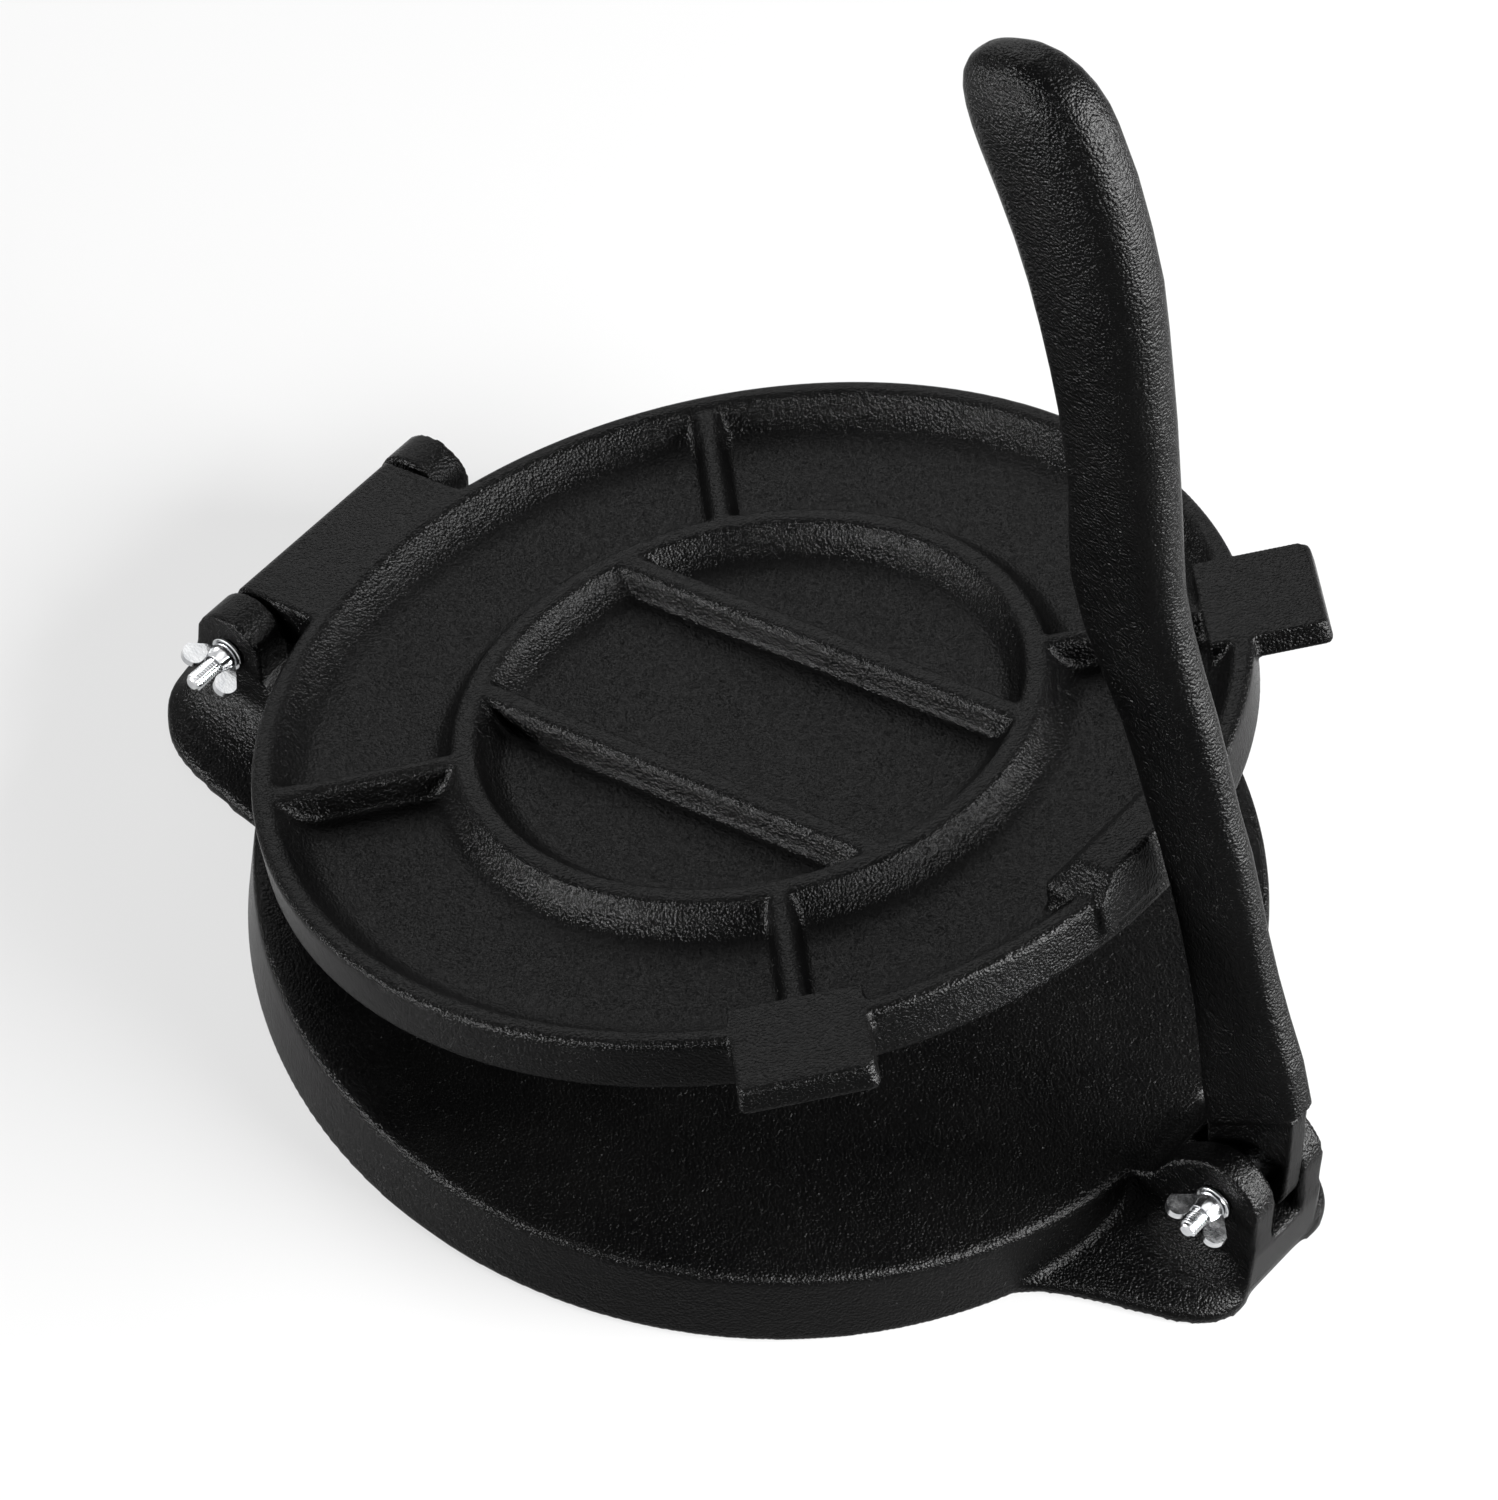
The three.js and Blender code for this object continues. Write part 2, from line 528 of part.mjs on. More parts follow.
// everything below the slanted shoulder goes, and the thinner tongue takes over
const shoulderWay = new THREE.Vector2(1, 0).rotateAround(
  new THREE.Vector2(), THREE.MathUtils.degToRad(SHOULDER_DEG));
const shoulderAt = new THREE.Vector2(LEVER_X, LEVER_Z)
  .addScaledVector(sideOf(shoulderWay), -LEVER_EAR_R - EAR_ROUND - SHOULDER_GAP);
const shoulder = [[-1, 0], [1, 0], [1, 1], [-1, 1]].map(([along, down]) => shoulderAt.clone()
  .addScaledVector(shoulderWay, HANDLE_LONG * along / 4)
  .addScaledVector(sideOf(shoulderWay), HANDLE_LONG * down / 4).toArray());
handle = handle.subtract(across(shoulder, -HANDLE_LONG / 4, HANDLE_LONG / 4));
const tongueOutline = [
  ...arc(LEVER_X, LEVER_Z, TONGUE_R, 190, 360, 26),
  ...about(LEVER_X, LEVER_Z, TONGUE_R, [
    [0.97, 0.82], [0.86, 2.3], [-0.1, 2.75], [-1.23, 2.13], [-1.13, 0.82]]),
];
handle = handle.add(across(
  tongueOutline, LEVER_Y - TONGUE_HALF, LEVER_Y + TONGUE_HALF, TONGUE_ROUND));
handle = handle.subtract(roundBar(LEVER_X, LEVER_Z, HOLE_R, -PLATE_R, PLATE_R));

// a bolt along Y with its hexagon head seated at y = headFace and its tip at y = end
function bolt(x, z, headFace, end) {
  const g = new THREE.LatheGeometry([
    new THREE.Vector2(0, end), new THREE.Vector2(BOLT_R - BOLT_TIP, end),
    new THREE.Vector2(BOLT_R, end + BOLT_TIP), new THREE.Vector2(BOLT_R, headFace + HEAD_HIGH / 3),
    new THREE.Vector2(0, headFace + HEAD_HIGH / 3),
  ], COARSE);
  const corner = HEAD_FLATS / Math.sqrt(3);
  const head = new THREE.CylinderGeometry(corner, corner, HEAD_HIGH, 6);
  head.translate(0, headFace + HEAD_HIGH / 2, 0);
  return solid(g).add(solid(head)).translate([x, 0, z]);
}

function washer(x, z, face) {
  const ring = roundBar(x, z, WASHER_R, face - WASHER_THICK, face);
  return ring.subtract(roundBar(x, z, HOLE_R, face - OVERRUN - WASHER_THICK, face + OVERRUN));
}

// a tapered hub with two lobes that lean out along the bolt, away from the seat at y = face
function wingNut(x, z, face, turnDeg) {
  const g = new THREE.LatheGeometry([
    new THREE.Vector2(0, 0), new THREE.Vector2(NUT_HUB_R, 0),
    new THREE.Vector2(NUT_HUB_R * 0.95, -NUT_HIGH * 0.6),
    new THREE.Vector2(NUT_HUB_R * 0.8, -NUT_HIGH), new THREE.Vector2(0, -NUT_HIGH),
  ], COARSE);
  let nut = solid(g);
  const lobeAt = NUT_SPAN / 2 - LOBE_R;
  const lobeOutline = [
    [NUT_HUB_R / 4, -NUT_HIGH * 0.17], [NUT_HUB_R * 1.1, -NUT_HIGH * 0.2],
    [lobeAt + LOBE_R * 0.74, -NUT_HIGH], ...arc(lobeAt, -LOBE_OUT, LOBE_R, 20, -200, 16),
    [NUT_HUB_R / 4, -NUT_HIGH * 0.9],
  ];
  for (const side of [1, -1]) {
    const lobe = new THREE.ExtrudeGeometry(
      new THREE.Shape(lobeOutline.map(([px, py]) => new THREE.Vector2(side * px, py))), {
        depth: LOBE_THICK - LOBE_ROUND * 2,
        bevelThickness: LOBE_ROUND,
        bevelSize: LOBE_ROUND,
        bevelOffset: -LOBE_ROUND,
        bevelSegments: 2,
      });
    lobe.translate(0, 0, LOBE_ROUND - LOBE_THICK / 2);
    nut = nut.add(solid(lobe));
  }
  nut = nut.subtract(roundBar(0, 0, HOLE_R, -NUT_SPAN, NUT_SPAN));
  return nut.rotate([0, turnDeg, 0]).translate([x, face, z]);
}

const nutSeat = SEAT_GAP + SEAT_GAP + WASHER_THICK;
const hingeBolt = bolt(HINGE_X, HINGE_Z, HINGE_EAR_OUT + SEAT_GAP, -HINGE_EAR_OUT - HINGE_BOLT_OUT);
const leverBolt = bolt(LEVER_X, LEVER_Z, LEVER_EAR_OUT + SEAT_GAP, -LEVER_EAR_OUT - LEVER_BOLT_OUT);
const hingeWasher = washer(HINGE_X, HINGE_Z, -HINGE_EAR_OUT - SEAT_GAP);
const leverWasher = washer(LEVER_X, LEVER_Z, -LEVER_EAR_OUT - SEAT_GAP);
const hingeNut = wingNut(HINGE_X, HINGE_Z, -HINGE_EAR_OUT - nutSeat, HINGE_NUT_DEG);
const leverNut = wingNut(LEVER_X, LEVER_Z, -LEVER_EAR_OUT - nutSeat, LEVER_NUT_DEG);

// the lid is set at its height and swung open about the hinge bolt
const openLid = lid.translate([-HINGE_X, 0, RIM_OVER_HINGE]).rotate([0, -OPEN_DEG, 0])
  .translate([HINGE_X, 0, HINGE_Z]);

const IRON = { color: 0x1b1b1d, roughness: 0.55, metalness: 0.6 };
const ZINC = { color: 0xc9ccd0, roughness: 0.3, metalness: 1 };

const press = new THREE.Group();
press.name = 'tortilla_press';
press.add(
  piece('base_plate', base, IRON),
  piece('lid', openLid, IRON),
  piece('lever_handle', handle, IRON),
  piece('hinge_bolt', hingeBolt, ZINC),
  piece('hinge_washer', hingeWasher, ZINC),
  piece('hinge_wing_nut', hingeNut, ZINC),
  piece('lever_bolt', leverBolt, ZINC),
  piece('lever_washer', leverWasher, ZINC),
  piece('lever_wing_nut', leverNut, ZINC),
);

export default press;
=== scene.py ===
# %% [markdown]
# # A cast iron tortilla press
# Three iron castings make the press: a round base plate, a round lid that is hinged to it,
# and a long lever that leans over the lid and squeezes it down. Two bolts with wing nuts hold
# them together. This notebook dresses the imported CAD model: every casting and every fastener
# is modelled again, finer than the CAD solid, in the same place and at the same size.

import json
import math

import bmesh
import bpy
from mathutils import Matrix, Vector


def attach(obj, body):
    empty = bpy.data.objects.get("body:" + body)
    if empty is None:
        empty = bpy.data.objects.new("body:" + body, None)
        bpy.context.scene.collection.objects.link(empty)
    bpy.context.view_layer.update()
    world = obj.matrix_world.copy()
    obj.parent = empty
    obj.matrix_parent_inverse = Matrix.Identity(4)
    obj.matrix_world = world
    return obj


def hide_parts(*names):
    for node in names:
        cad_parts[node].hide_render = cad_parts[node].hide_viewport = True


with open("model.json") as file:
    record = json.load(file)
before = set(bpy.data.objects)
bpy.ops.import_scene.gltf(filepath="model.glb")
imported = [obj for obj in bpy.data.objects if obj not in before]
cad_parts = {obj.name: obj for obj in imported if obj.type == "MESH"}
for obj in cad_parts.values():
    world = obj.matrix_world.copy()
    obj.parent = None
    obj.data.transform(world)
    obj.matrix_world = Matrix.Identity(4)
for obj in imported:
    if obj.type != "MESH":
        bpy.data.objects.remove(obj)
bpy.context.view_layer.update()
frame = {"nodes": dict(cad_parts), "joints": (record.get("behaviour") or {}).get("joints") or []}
print("CAD nodes:", ", ".join(sorted(frame["nodes"])))

# %% [markdown]
# ## Units and places
# Blender works in metres, while a maker thinks of such a press in millimetres. One factor turns
# one into the other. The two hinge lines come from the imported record, so that the new pieces
# turn about the same axes as the CAD ones.

# %% Units and the two hinge lines
MM = 0.001


def mm(x, y, z):
    """A place given in millimetres."""
    return Vector((x, y, z)) * MM


joint_at = {joint["name"]: Vector(joint["pos_m"]) for joint in frame["joints"]}
hinge = joint_at["lid_hinge"]
pivot = joint_at["lever_pivot"]
open_angle = -math.radians(frame["joints"][0]["range_deg"][0])
print("lid open by", round(math.degrees(open_angle), 1), "degrees")

# %% [markdown]
# ## Small helpers for modelling
# Every operator in edit mode works on what is selected, so each step first clears the selection.
# Most shapes here start as one point that is pulled along an outline, which is how a section is
# drawn by hand. An outline can then be spun into a round casting or pushed out into a bar.


# %% Selecting and drawing
def only(piece):
    """Leaves object mode with this one piece selected and active."""
    if bpy.context.mode != "OBJECT":
        bpy.ops.object.mode_set(mode="OBJECT")
    bpy.ops.object.select_all(action="DESELECT")
    piece.select_set(True)
    bpy.context.view_layer.objects.active = piece
    return piece


def edit(piece):
    """Opens a piece in edit mode with all of it selected."""
    only(piece)
    bpy.ops.object.mode_set(mode="EDIT")
    bpy.ops.mesh.select_all(action="SELECT")


def drawn(name, places, filled=True):
    """One point, pulled from place to place; filled closes the outline with a face."""
    if bpy.context.mode != "OBJECT":
        bpy.ops.object.mode_set(mode="OBJECT")
    bpy.ops.object.select_all(action="DESELECT")
    bpy.ops.mesh.primitive_plane_add(size=MM, location=places[0])
    piece = bpy.context.object
    piece.name = name
    bpy.ops.object.transform_apply(location=True)
    bpy.ops.object.mode_set(mode="EDIT")
    bpy.ops.mesh.select_all(action="SELECT")
    bpy.ops.mesh.merge(type="CENTER")
    for here, there in zip(places, places[1:]):
        bpy.ops.mesh.extrude_vertices_move(TRANSFORM_OT_translate={"value": there - here})
    if filled:
        bpy.ops.mesh.select_all(action="SELECT")
        bpy.ops.mesh.edge_face_add()
    bpy.ops.object.mode_set(mode="OBJECT")
    return piece


def tidied(piece):
    """Merges doubled points and turns every face outwards."""
    edit(piece)
    bpy.ops.mesh.remove_doubles(threshold=MM / 200)
    bpy.ops.mesh.normals_make_consistent(inside=False)
    bpy.ops.object.mode_set(mode="OBJECT")
    return piece


# %% [markdown]
# ## From outline to solid
# A founder's pattern is turned on a lathe, sawn from a board or carved to a run of templates.
# The same three ways make every shape here: spin a section, push an outline straight out, or
# stack outlines and skin them. They are the plainest operators that give such forms.

# %% Spinning, pushing out and stacking
SPIN_STEPS = 240


def spun(name, section, steps=SPIN_STEPS):
    """A section of (radius, height) turned once about the upright axis."""
    piece = drawn(name, [mm(r, 0, z) for r, z in section], filled=False)
    edit(piece)
    bpy.ops.mesh.spin(steps=steps, angle=2 * math.pi, center=(0, 0, 0), axis=(0, 0, 1))
    return tidied(piece)


def pushed(name, outline, low, high, edge=0.0):
    """A side outline of (x, z) pushed out across the press, its edges rounded a little."""
    piece = drawn(name, [mm(x, low, z) for x, z in outline])
    edit(piece)
    bpy.ops.mesh.extrude_region_move(TRANSFORM_OT_translate={"value": (0, (high - low) * MM, 0)})
    tidied(piece)
    if edge:
        edit(piece)
        bpy.ops.mesh.select_all(action="DESELECT")
        mesh = bmesh.from_edit_mesh(piece.data)
        for rim in mesh.edges:
            ends = [corner.co.y for corner in rim.verts]
            rim.select_set(abs(ends[0] - ends[1]) < MM / 100)
        bmesh.update_edit_mesh(piece.data)
        bpy.ops.mesh.bevel(offset=edge * MM, segments=2, affect="EDGES", clamp_overlap=True)
        tidied(piece)
    return piece


def stacked(name, rings):
    """Closed outlines with the same number of points, skinned one after the other."""
    piece = drawn(name, rings[0])
    edit(piece)
    before = rings[0]
    for ring in rings[1:]:
        bpy.ops.mesh.extrude_region_move(TRANSFORM_OT_translate={"value": (0, 0, 0)})
        mesh = bmesh.from_edit_mesh(piece.data)
        for corner in [v for v in mesh.verts if v.select]:
            nearest = min(range(len(before)), key=lambda i: (before[i] - corner.co).length)
            corner.co = ring[nearest]
        bmesh.update_edit_mesh(piece.data)
        before = ring
    return tidied(piece)


def rod(name, middle, radius, low, high, sides=48):
    """A round bar across the press, along Y."""
    bpy.ops.object.select_all(action="DESELECT")
    bpy.ops.mesh.primitive_cylinder_add(
        vertices=sides, radius=radius * MM, depth=(high - low) * MM,
        location=(middle.x, (low + high) / 2 * MM, middle.z), rotation=(math.pi / 2, 0, 0))
    piece = bpy.context.object
    piece.name = name
    bpy.ops.object.transform_apply(location=True, rotation=True)
    return piece


# %% [markdown]
# ## Putting shapes together
# A pattern is glued up from several blocks, and the holes are drilled in the casting later. So
# there is one helper that joins shapes into one object and one that cuts a shape out of another,
# and one more that turns a piece, because flat pieces are drawn square and turned afterwards.


# %% Joining, drilling and turning
def joined(name, parts):
    """Several overlapping closed shapes as one object."""
    only(parts[0])
    for part in parts[1:]:
        part.select_set(True)
    bpy.ops.object.join()
    piece = bpy.context.object
    piece.name = name
    return piece


def drilled(piece, cutter):
    """Takes the cutter's shape out of a piece."""
    only(piece)
    bpy.ops.object.modifier_add(type="BOOLEAN")
    hole = piece.modifiers[-1]
    hole.operation = "DIFFERENCE"
    hole.solver = "MANIFOLD"
    hole.object = cutter
    bpy.ops.object.modifier_apply(modifier=hole.name)
    bpy.data.objects.remove(cutter)
    return piece


def turned(piece, angle, axis, centre):
    """Turns a piece's own mesh about a line through centre."""
    turn = Matrix.Rotation(angle, 4, axis)
    piece.data.transform(Matrix.Translation(centre) @ turn @ Matrix.Translation(-centre))
    piece.data.update()
    return piece


# %% [markdown]
# ## Casting
# Sand moulds leave no sharp inner corners: where a rib meets a floor the iron runs out in a small
# round fillet, and outer edges are soft too. Adding all of those by hand is slow. Instead the
# parts of one casting are joined, a voxel remesh melts them into one skin, and a few rounds of
# smoothing draw the fillets. The voxel size decides how fine they are. The flats then hold far
# more faces than they need, so a Decimate modifier thins the skin at the end.


# %% Melt the parts into one casting
def cast(piece, voxel, rounds, keep):
    """One skin over all parts with soft corners; keep is the share of faces left on it."""
    only(piece)
    bpy.ops.object.modifier_add(type="REMESH")
    skin = piece.modifiers[-1]
    skin.mode = "VOXEL"
    skin.voxel_size = voxel * MM
    bpy.ops.object.modifier_apply(modifier=skin.name)
    bpy.ops.object.modifier_add(type="SMOOTH")
    soft = piece.modifiers[-1]
    soft.factor = 0.5
    soft.iterations = rounds
    bpy.ops.object.modifier_apply(modifier=soft.name)
    bpy.ops.object.modifier_add(type="DECIMATE")
    thin = piece.modifiers[-1]
    thin.ratio = keep
    bpy.ops.object.modifier_apply(modifier=thin.name)
    bpy.ops.object.shade_smooth()
    print(piece.name, len(piece.data.polygons), "faces")
    return piece


# %% [markdown]
# ## Outlines in shares
# Many outlines here are short tables. A table gives each point as a share of a size, such as
# the share of the way down a slope, so that the numbers stay readable and the same curve can be
# used again at another size.


# %% Helpers for outlines
def arc(x, z, radius, start, end, count):
    """Places on an arc in the side view, angles in degrees."""
    angles = [math.radians(start + (end - start) * i / count) for i in range(count + 1)]
    return [(x + radius * math.cos(a), z + radius * math.sin(a)) for a in angles]


def about(x, z, size, shares):
    """Places given as shares of one size, measured from a centre."""
    return [(x + size * a, z + size * b) for a, b in shares]


def both_sides(half):
    """Half an outline, and the same half mirrored across the press."""
    return half + [(x, -y) for x, y in reversed(half)]


# %% [markdown]
# ## The lid
# The lid is a shallow dish: a rim round the outside, a thin floor, and a raised ring in the
# middle. All of that is round, so one section is drawn from the middle of the underside to the
# middle of the floor and spun. The lid is modelled closed and lying flat, with its rim's top at
# height 0, because flat pieces are easier to measure, and is swung open at the end. Each slope
# is a short table of shares, which draws the round foot and the round crest of the casting.

# %% The lid's round section
LID_R = 130
LID_THICK = 15.3
RECESS = 9
EDGE = 1.4
rim_in, floor_out = LID_R * 0.962, LID_R * 0.885
ring_out, ring_out_foot = LID_R * 0.59, LID_R * 0.638
ring_in, ring_in_foot = LID_R * 0.555, LID_R * 0.505
RIM_SLOPE = [(-0.06, 0), (0.05, 0.056), (0.18, 0.244), (0.48, 0.6), (0.76, 0.844),
             (1.1, 0.967), (1.5, 1)]
RING_SLOPE = [(0, 0), (0.13, 0.1), (0.4, 0.49), (0.96, 0.9), (1.32, 1)]


def slope(start, end, drop, shares):
    """Points down a slope: shares of the way out and of the drop to the floor."""
    return [(start + (end - start) * on, -drop - (RECESS - drop) * down) for on, down in shares]


lid_parts = [spun("lid_dish", [
    (0, -LID_THICK), (LID_R - EDGE, -LID_THICK), (LID_R - EDGE * 0.3, EDGE * 0.3 - LID_THICK),
    (LID_R, EDGE - LID_THICK), (LID_R, -EDGE), (LID_R - EDGE * 0.3, -EDGE * 0.3),
    (LID_R - EDGE, 0), *slope(rim_in, floor_out, 0, RIM_SLOPE),
    *reversed(slope(ring_out, ring_out_foot, 1.2, RING_SLOPE)),
    *slope(ring_in, ring_in_foot, 1.2, RING_SLOPE), (0, -RECESS)])]

# %% [markdown]
# ## Ribs and bars
# Four ribs run from the ring to the rim and two bars cross the ring. Each has sloping sides, so
# that it leaves the sand mould cleanly. Its section is drawn across it and skinned from one end
# to the other, and a rib's outer end spreads where it runs into the rim.


# %% Ribs and bars
BAR_CREST_HALF, BAR_FOOT_HALF, BAR_DROP = 2.6, 4.7, 1.4
RIB_CREST_HALF, RIB_FOOT_HALF, RIB_DROP = 1.9, 4.2, 1


def rib(name, start, end, crest_half, foot_half, drop, widths):
    """Sections along a rib; widths lists the share of the way and the share of the width."""
    a, b = Vector(start), Vector(end)
    side = Vector((a.y - b.y, b.x - a.x)).normalized()
    half = [(foot_half, -RECESS - 2), (foot_half, 0.4 - RECESS), (crest_half + 0.9, -drop - 1.6),
            (crest_half, -drop - 0.4), (crest_half - 0.5, -drop)]
    section = half + [(-out, z) for out, z in reversed(half)]
    return stacked(name, [
        [mm(*(a.lerp(b, on) + side * out * wide), z) for out, z in section]
        for on, wide in widths])


bar_y = LID_R * 0.224
bar_reach = math.sqrt(ring_in**2 - bar_y**2)
for side in (1, -1):
    lid_parts.append(rib("bar", (-bar_reach, side * bar_y), (bar_reach, side * bar_y),
                         BAR_CREST_HALF, BAR_FOOT_HALF, BAR_DROP, [(0, 1), (1, 1)]))
for degrees in (45, 135, 225, 315):
    way = Vector((math.cos(math.radians(degrees)), math.sin(math.radians(degrees))))
    lid_parts.append(rib("rib", way * (ring_out - EDGE), way * (rim_in + EDGE),
                         RIB_CREST_HALF, RIB_FOOT_HALF, RIB_DROP,
                         [(0, 1), (0.72, 1), (0.88, 1.35), (1, 1.7)]))
print(len(lid_parts), "parts of the lid so far")

# %% [markdown]
# ## Front tabs
# Two flat tabs stand out from the rim at the front, where a hand lifts the lid. Each is a stack
# of outlines, so that its sides can lean a little at every level, with a lump under it that ties
# it to the rim.

# %% Tabs
TAB_END = LID_R + 18
tab_plan = both_sides([(LID_R * 0.905, -16.5), (TAB_END - 1.65, -16.5), (TAB_END - 0.44, -15.95),
                       (TAB_END, -14.74)])
for degrees in (45, -45):
    tab = stacked("tab", [
        [mm(x + (grow if x > LID_R else 0), y + math.copysign(grow, y), z) for x, y in tab_plan]
        for z, grow in [(-7, 0.55), (-6.34, 1.1), (-0.88, 0.33), (0, -0.55)]])
    lump = pushed("lump", [(LID_R - 7, -3.5), (LID_R + 7, -3.5), (LID_R + 2.5, -12.55),
                           (LID_R - 7, -13.5)], -7, 7, 1.2)
    for piece in (tab, lump):
        turned(piece, math.radians(degrees), "Z", Vector((0, 0, 0)))
        lid_parts.append(piece)

# %% [markdown]
# ## The nose
# Between the tabs sits the nose: a low block with a rounded top, the place where the lever
# bears. One outline for its foot and one for its crest are enough, and the levels between them
# are shares of the way, which draw the round shoulder.

# %% Nose
NOSE_OUT, NOSE_LONG, NOSE_HALF, NOSE_HIGH = LID_R + 0.7, 18.6, 21.5, 5
nose_foot, nose_crest = [
    both_sides([(NOSE_OUT - NOSE_LONG * (1 - on), NOSE_HALF * wide) for on, wide in shares])
    for shares in ([(0, 0.977), (0.645, 1), (1, 0.977)],
                   [(0.323, 0.651), (0.645, 0.674), (0.957, 0.651)])]
NOSE_LEVELS = [(-2, 0), (-0.2, 0.05), (0.12, 0.3), (0.48, 0.66), (0.8, 0.92), (0.96, 1.06),
               (1, 1.2)]
lid_parts.append(stacked("nose", [
    [mm(fx + (cx - fx) * on, fy + (cy - fy) * on, high * NOSE_HIGH)
     for (fx, fy), (cx, cy) in zip(nose_foot, nose_crest)]
    for high, on in NOSE_LEVELS]))

# %% [markdown]
# ## The hinge tab
# At the back the rim carries a flat tab that ends in a barrel round the hinge bolt. Its side
# outline is drawn once and pushed out across the press to the width between the base's ears.

# %% Hinge tab
HINGE_X, HINGE_Z = hinge.x / MM, hinge.z / MM
RIM_OVER_HINGE = 10.5
BARREL_R = 8.5
BARREL_HALF = 30.2
ROUNDED = 1.2
tab_root = -rim_in - EDGE * 0.7
lid_parts.append(pushed("hinge_tab", [
    (tab_root, -0.02),
    *about(HINGE_X, -0.02, BARREL_R, [(-0.459, 0), (-0.694, -0.118), (-0.835, -0.353)]),
    *arc(HINGE_X, -RIM_OVER_HINGE, BARREL_R, 172, 330, 30),
    *about(HINGE_X, -RIM_OVER_HINGE, BARREL_R, [(1.588, -0.224)]),
    (tab_root, -RIM_OVER_HINGE - BARREL_R / 4)], -BARREL_HALF, BARREL_HALF, ROUNDED))

# %% [markdown]
# ## Casting and opening the lid
# The parts are cast as one, and the bolt's hole is drilled after that, as in the workshop, so
# that its edge stays sharp. The lid then rises to its place over the hinge and swings open to
# the angle that the record gives.

# %% Cast, drill and open the lid
BOLT_HOLE_R = 2.8
DRILL_REACH = 60
lid = cast(joined("iron_lid", lid_parts), voxel=0.85, rounds=2, keep=0.41)
drilled(lid, rod("drill", Vector((hinge.x, 0, -RIM_OVER_HINGE * MM)), BOLT_HOLE_R,
                 -DRILL_REACH, DRILL_REACH))
lid.data.transform(Matrix.Translation((0, 0, hinge.z + RIM_OVER_HINGE * MM)))
turned(lid, -open_angle, "Y", hinge)
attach(lid, "lid")
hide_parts("lid")

# %% [markdown]
# ## The base plate
# The base is a disc with a skirt, like a shallow pan turned over. Under it a ring and six ribs
# stiffen the plate. At the back two ears carry the hinge bolt, and at the front a forked arm
# carries the lever. Both stand on feet that sweep out to a thin flange on the worktop.

# %% The round plate and its ribs
PLATE_R = 133
PLATE_TOP = 25
UNDERSIDE = 19
WALL = 5
UNDER_RING_R = 61
UNDER_EDGE = 7
STIFFENER_END, STIFFENER_TOP, STIFFENER_HALF = 130, 21, 2.25
STIFFENERS = 6
skirt_foot, skirt_in = PLATE_R + 1.2, PLATE_R - WALL
ring_foot_half, ring_top_half = 2.2, 3.96
base_parts = [spun("plate", [
    (0, PLATE_TOP), (PLATE_R - 1.6, PLATE_TOP), (PLATE_R - 0.48, PLATE_TOP - 0.48),
    (PLATE_R, PLATE_TOP - 1.6), (skirt_foot, 1.2), (skirt_foot - 0.8, 0), (skirt_foot - WALL, 0),
    (skirt_in - 1, UNDERSIDE - 3), (skirt_in - 4, UNDERSIDE),
    (UNDER_RING_R + ring_top_half, UNDERSIDE), (UNDER_RING_R + ring_foot_half, UNDER_EDGE),
    (UNDER_RING_R - ring_foot_half, UNDER_EDGE), (UNDER_RING_R - ring_top_half, UNDERSIDE),
    (0, UNDERSIDE)])]
for i in range(STIFFENERS):
    stiffener = pushed("stiffener", [
        (UNDER_RING_R, UNDER_EDGE), (STIFFENER_END, UNDER_EDGE), (STIFFENER_END, STIFFENER_TOP),
        (UNDER_RING_R, STIFFENER_TOP)], -STIFFENER_HALF, STIFFENER_HALF, ROUNDED / 2)
    base_parts.append(turned(stiffener, math.radians(30 + 360 / STIFFENERS * i), "Z",
                             Vector((0, 0, 0))))
print("plate", 2 * PLATE_R, "mm across, with", STIFFENERS, "ribs under it")


# %% [markdown]
# ## Flared feet
# A foot goes from the arm's plain sides to a wide flange in one concave sweep. Two plan outlines
# with matching points are enough: the one on the ground and the one of the arm. At each height
# the foot lies some share of the way between them, and the shares draw the sweep.

# %% Two feet
def smooth_outline(half, reach, count=100):
    """A smooth open curve through half an outline and its mirror image, in even steps."""
    ends = [Vector(p) for p in both_sides(half)]
    ends = [2 * ends[0] - ends[1]] + ends + [2 * ends[-1] - ends[-2]]
    fine = []
    for a, b, c, d in zip(ends, ends[1:], ends[2:], ends[3:]):
        for i in range(12):
            t = i / 12
            fine.append(0.5 * ((2 * b) + (c - a) * t + (2 * a - 5 * b + 4 * c - d) * t**2
                               + (3 * b - a - 3 * c + d) * t**3))
    fine.append(ends[-2])
    runs = [0.0]
    for a, b in zip(fine, fine[1:]):
        runs.append(runs[-1] + (b - a).length)
    even = []
    k = 0
    for i in range(count + 1):
        goal = runs[-1] * i / count
        while k < len(runs) - 2 and runs[k + 1] < goal:
            k += 1
        share = (goal - runs[k]) / max(runs[k + 1] - runs[k], 1e-9)
        even.append(fine[k].lerp(fine[k + 1], min(share, 1)))
    return [Vector((max(min(p.x, reach), -reach), p.y)) for p in even]


FLARE = [(0, 0.99), (0.17, 1), (0.22, 0.97), (0.25, 0.9), (0.29, 0.76), (0.36, 0.56),
         (0.48, 0.35), (0.64, 0.17), (0.82, 0.05), (1, 0)]
FLARE_TOP = 19


def spread(root, end, half, shares):
    """Shares of the way out from the foot's root, and of its half width."""
    return [(root + (end - root) * on, half * wide) for on, wide in shares]


def foot(name, ground_half, arm_half, reach, top):
    """Rings from the ground to the top of the flare, then straight up to top."""
    ground, arm = smooth_outline(ground_half, reach), smooth_outline(arm_half, reach)
    rings = [[mm(*arm_at.lerp(at, wide), high * FLARE_TOP) for at, arm_at in zip(ground, arm)]
             for high, wide in FLARE]
    rings.append([mm(*arm_at, top) for arm_at in arm])
    return stacked(name, rings)


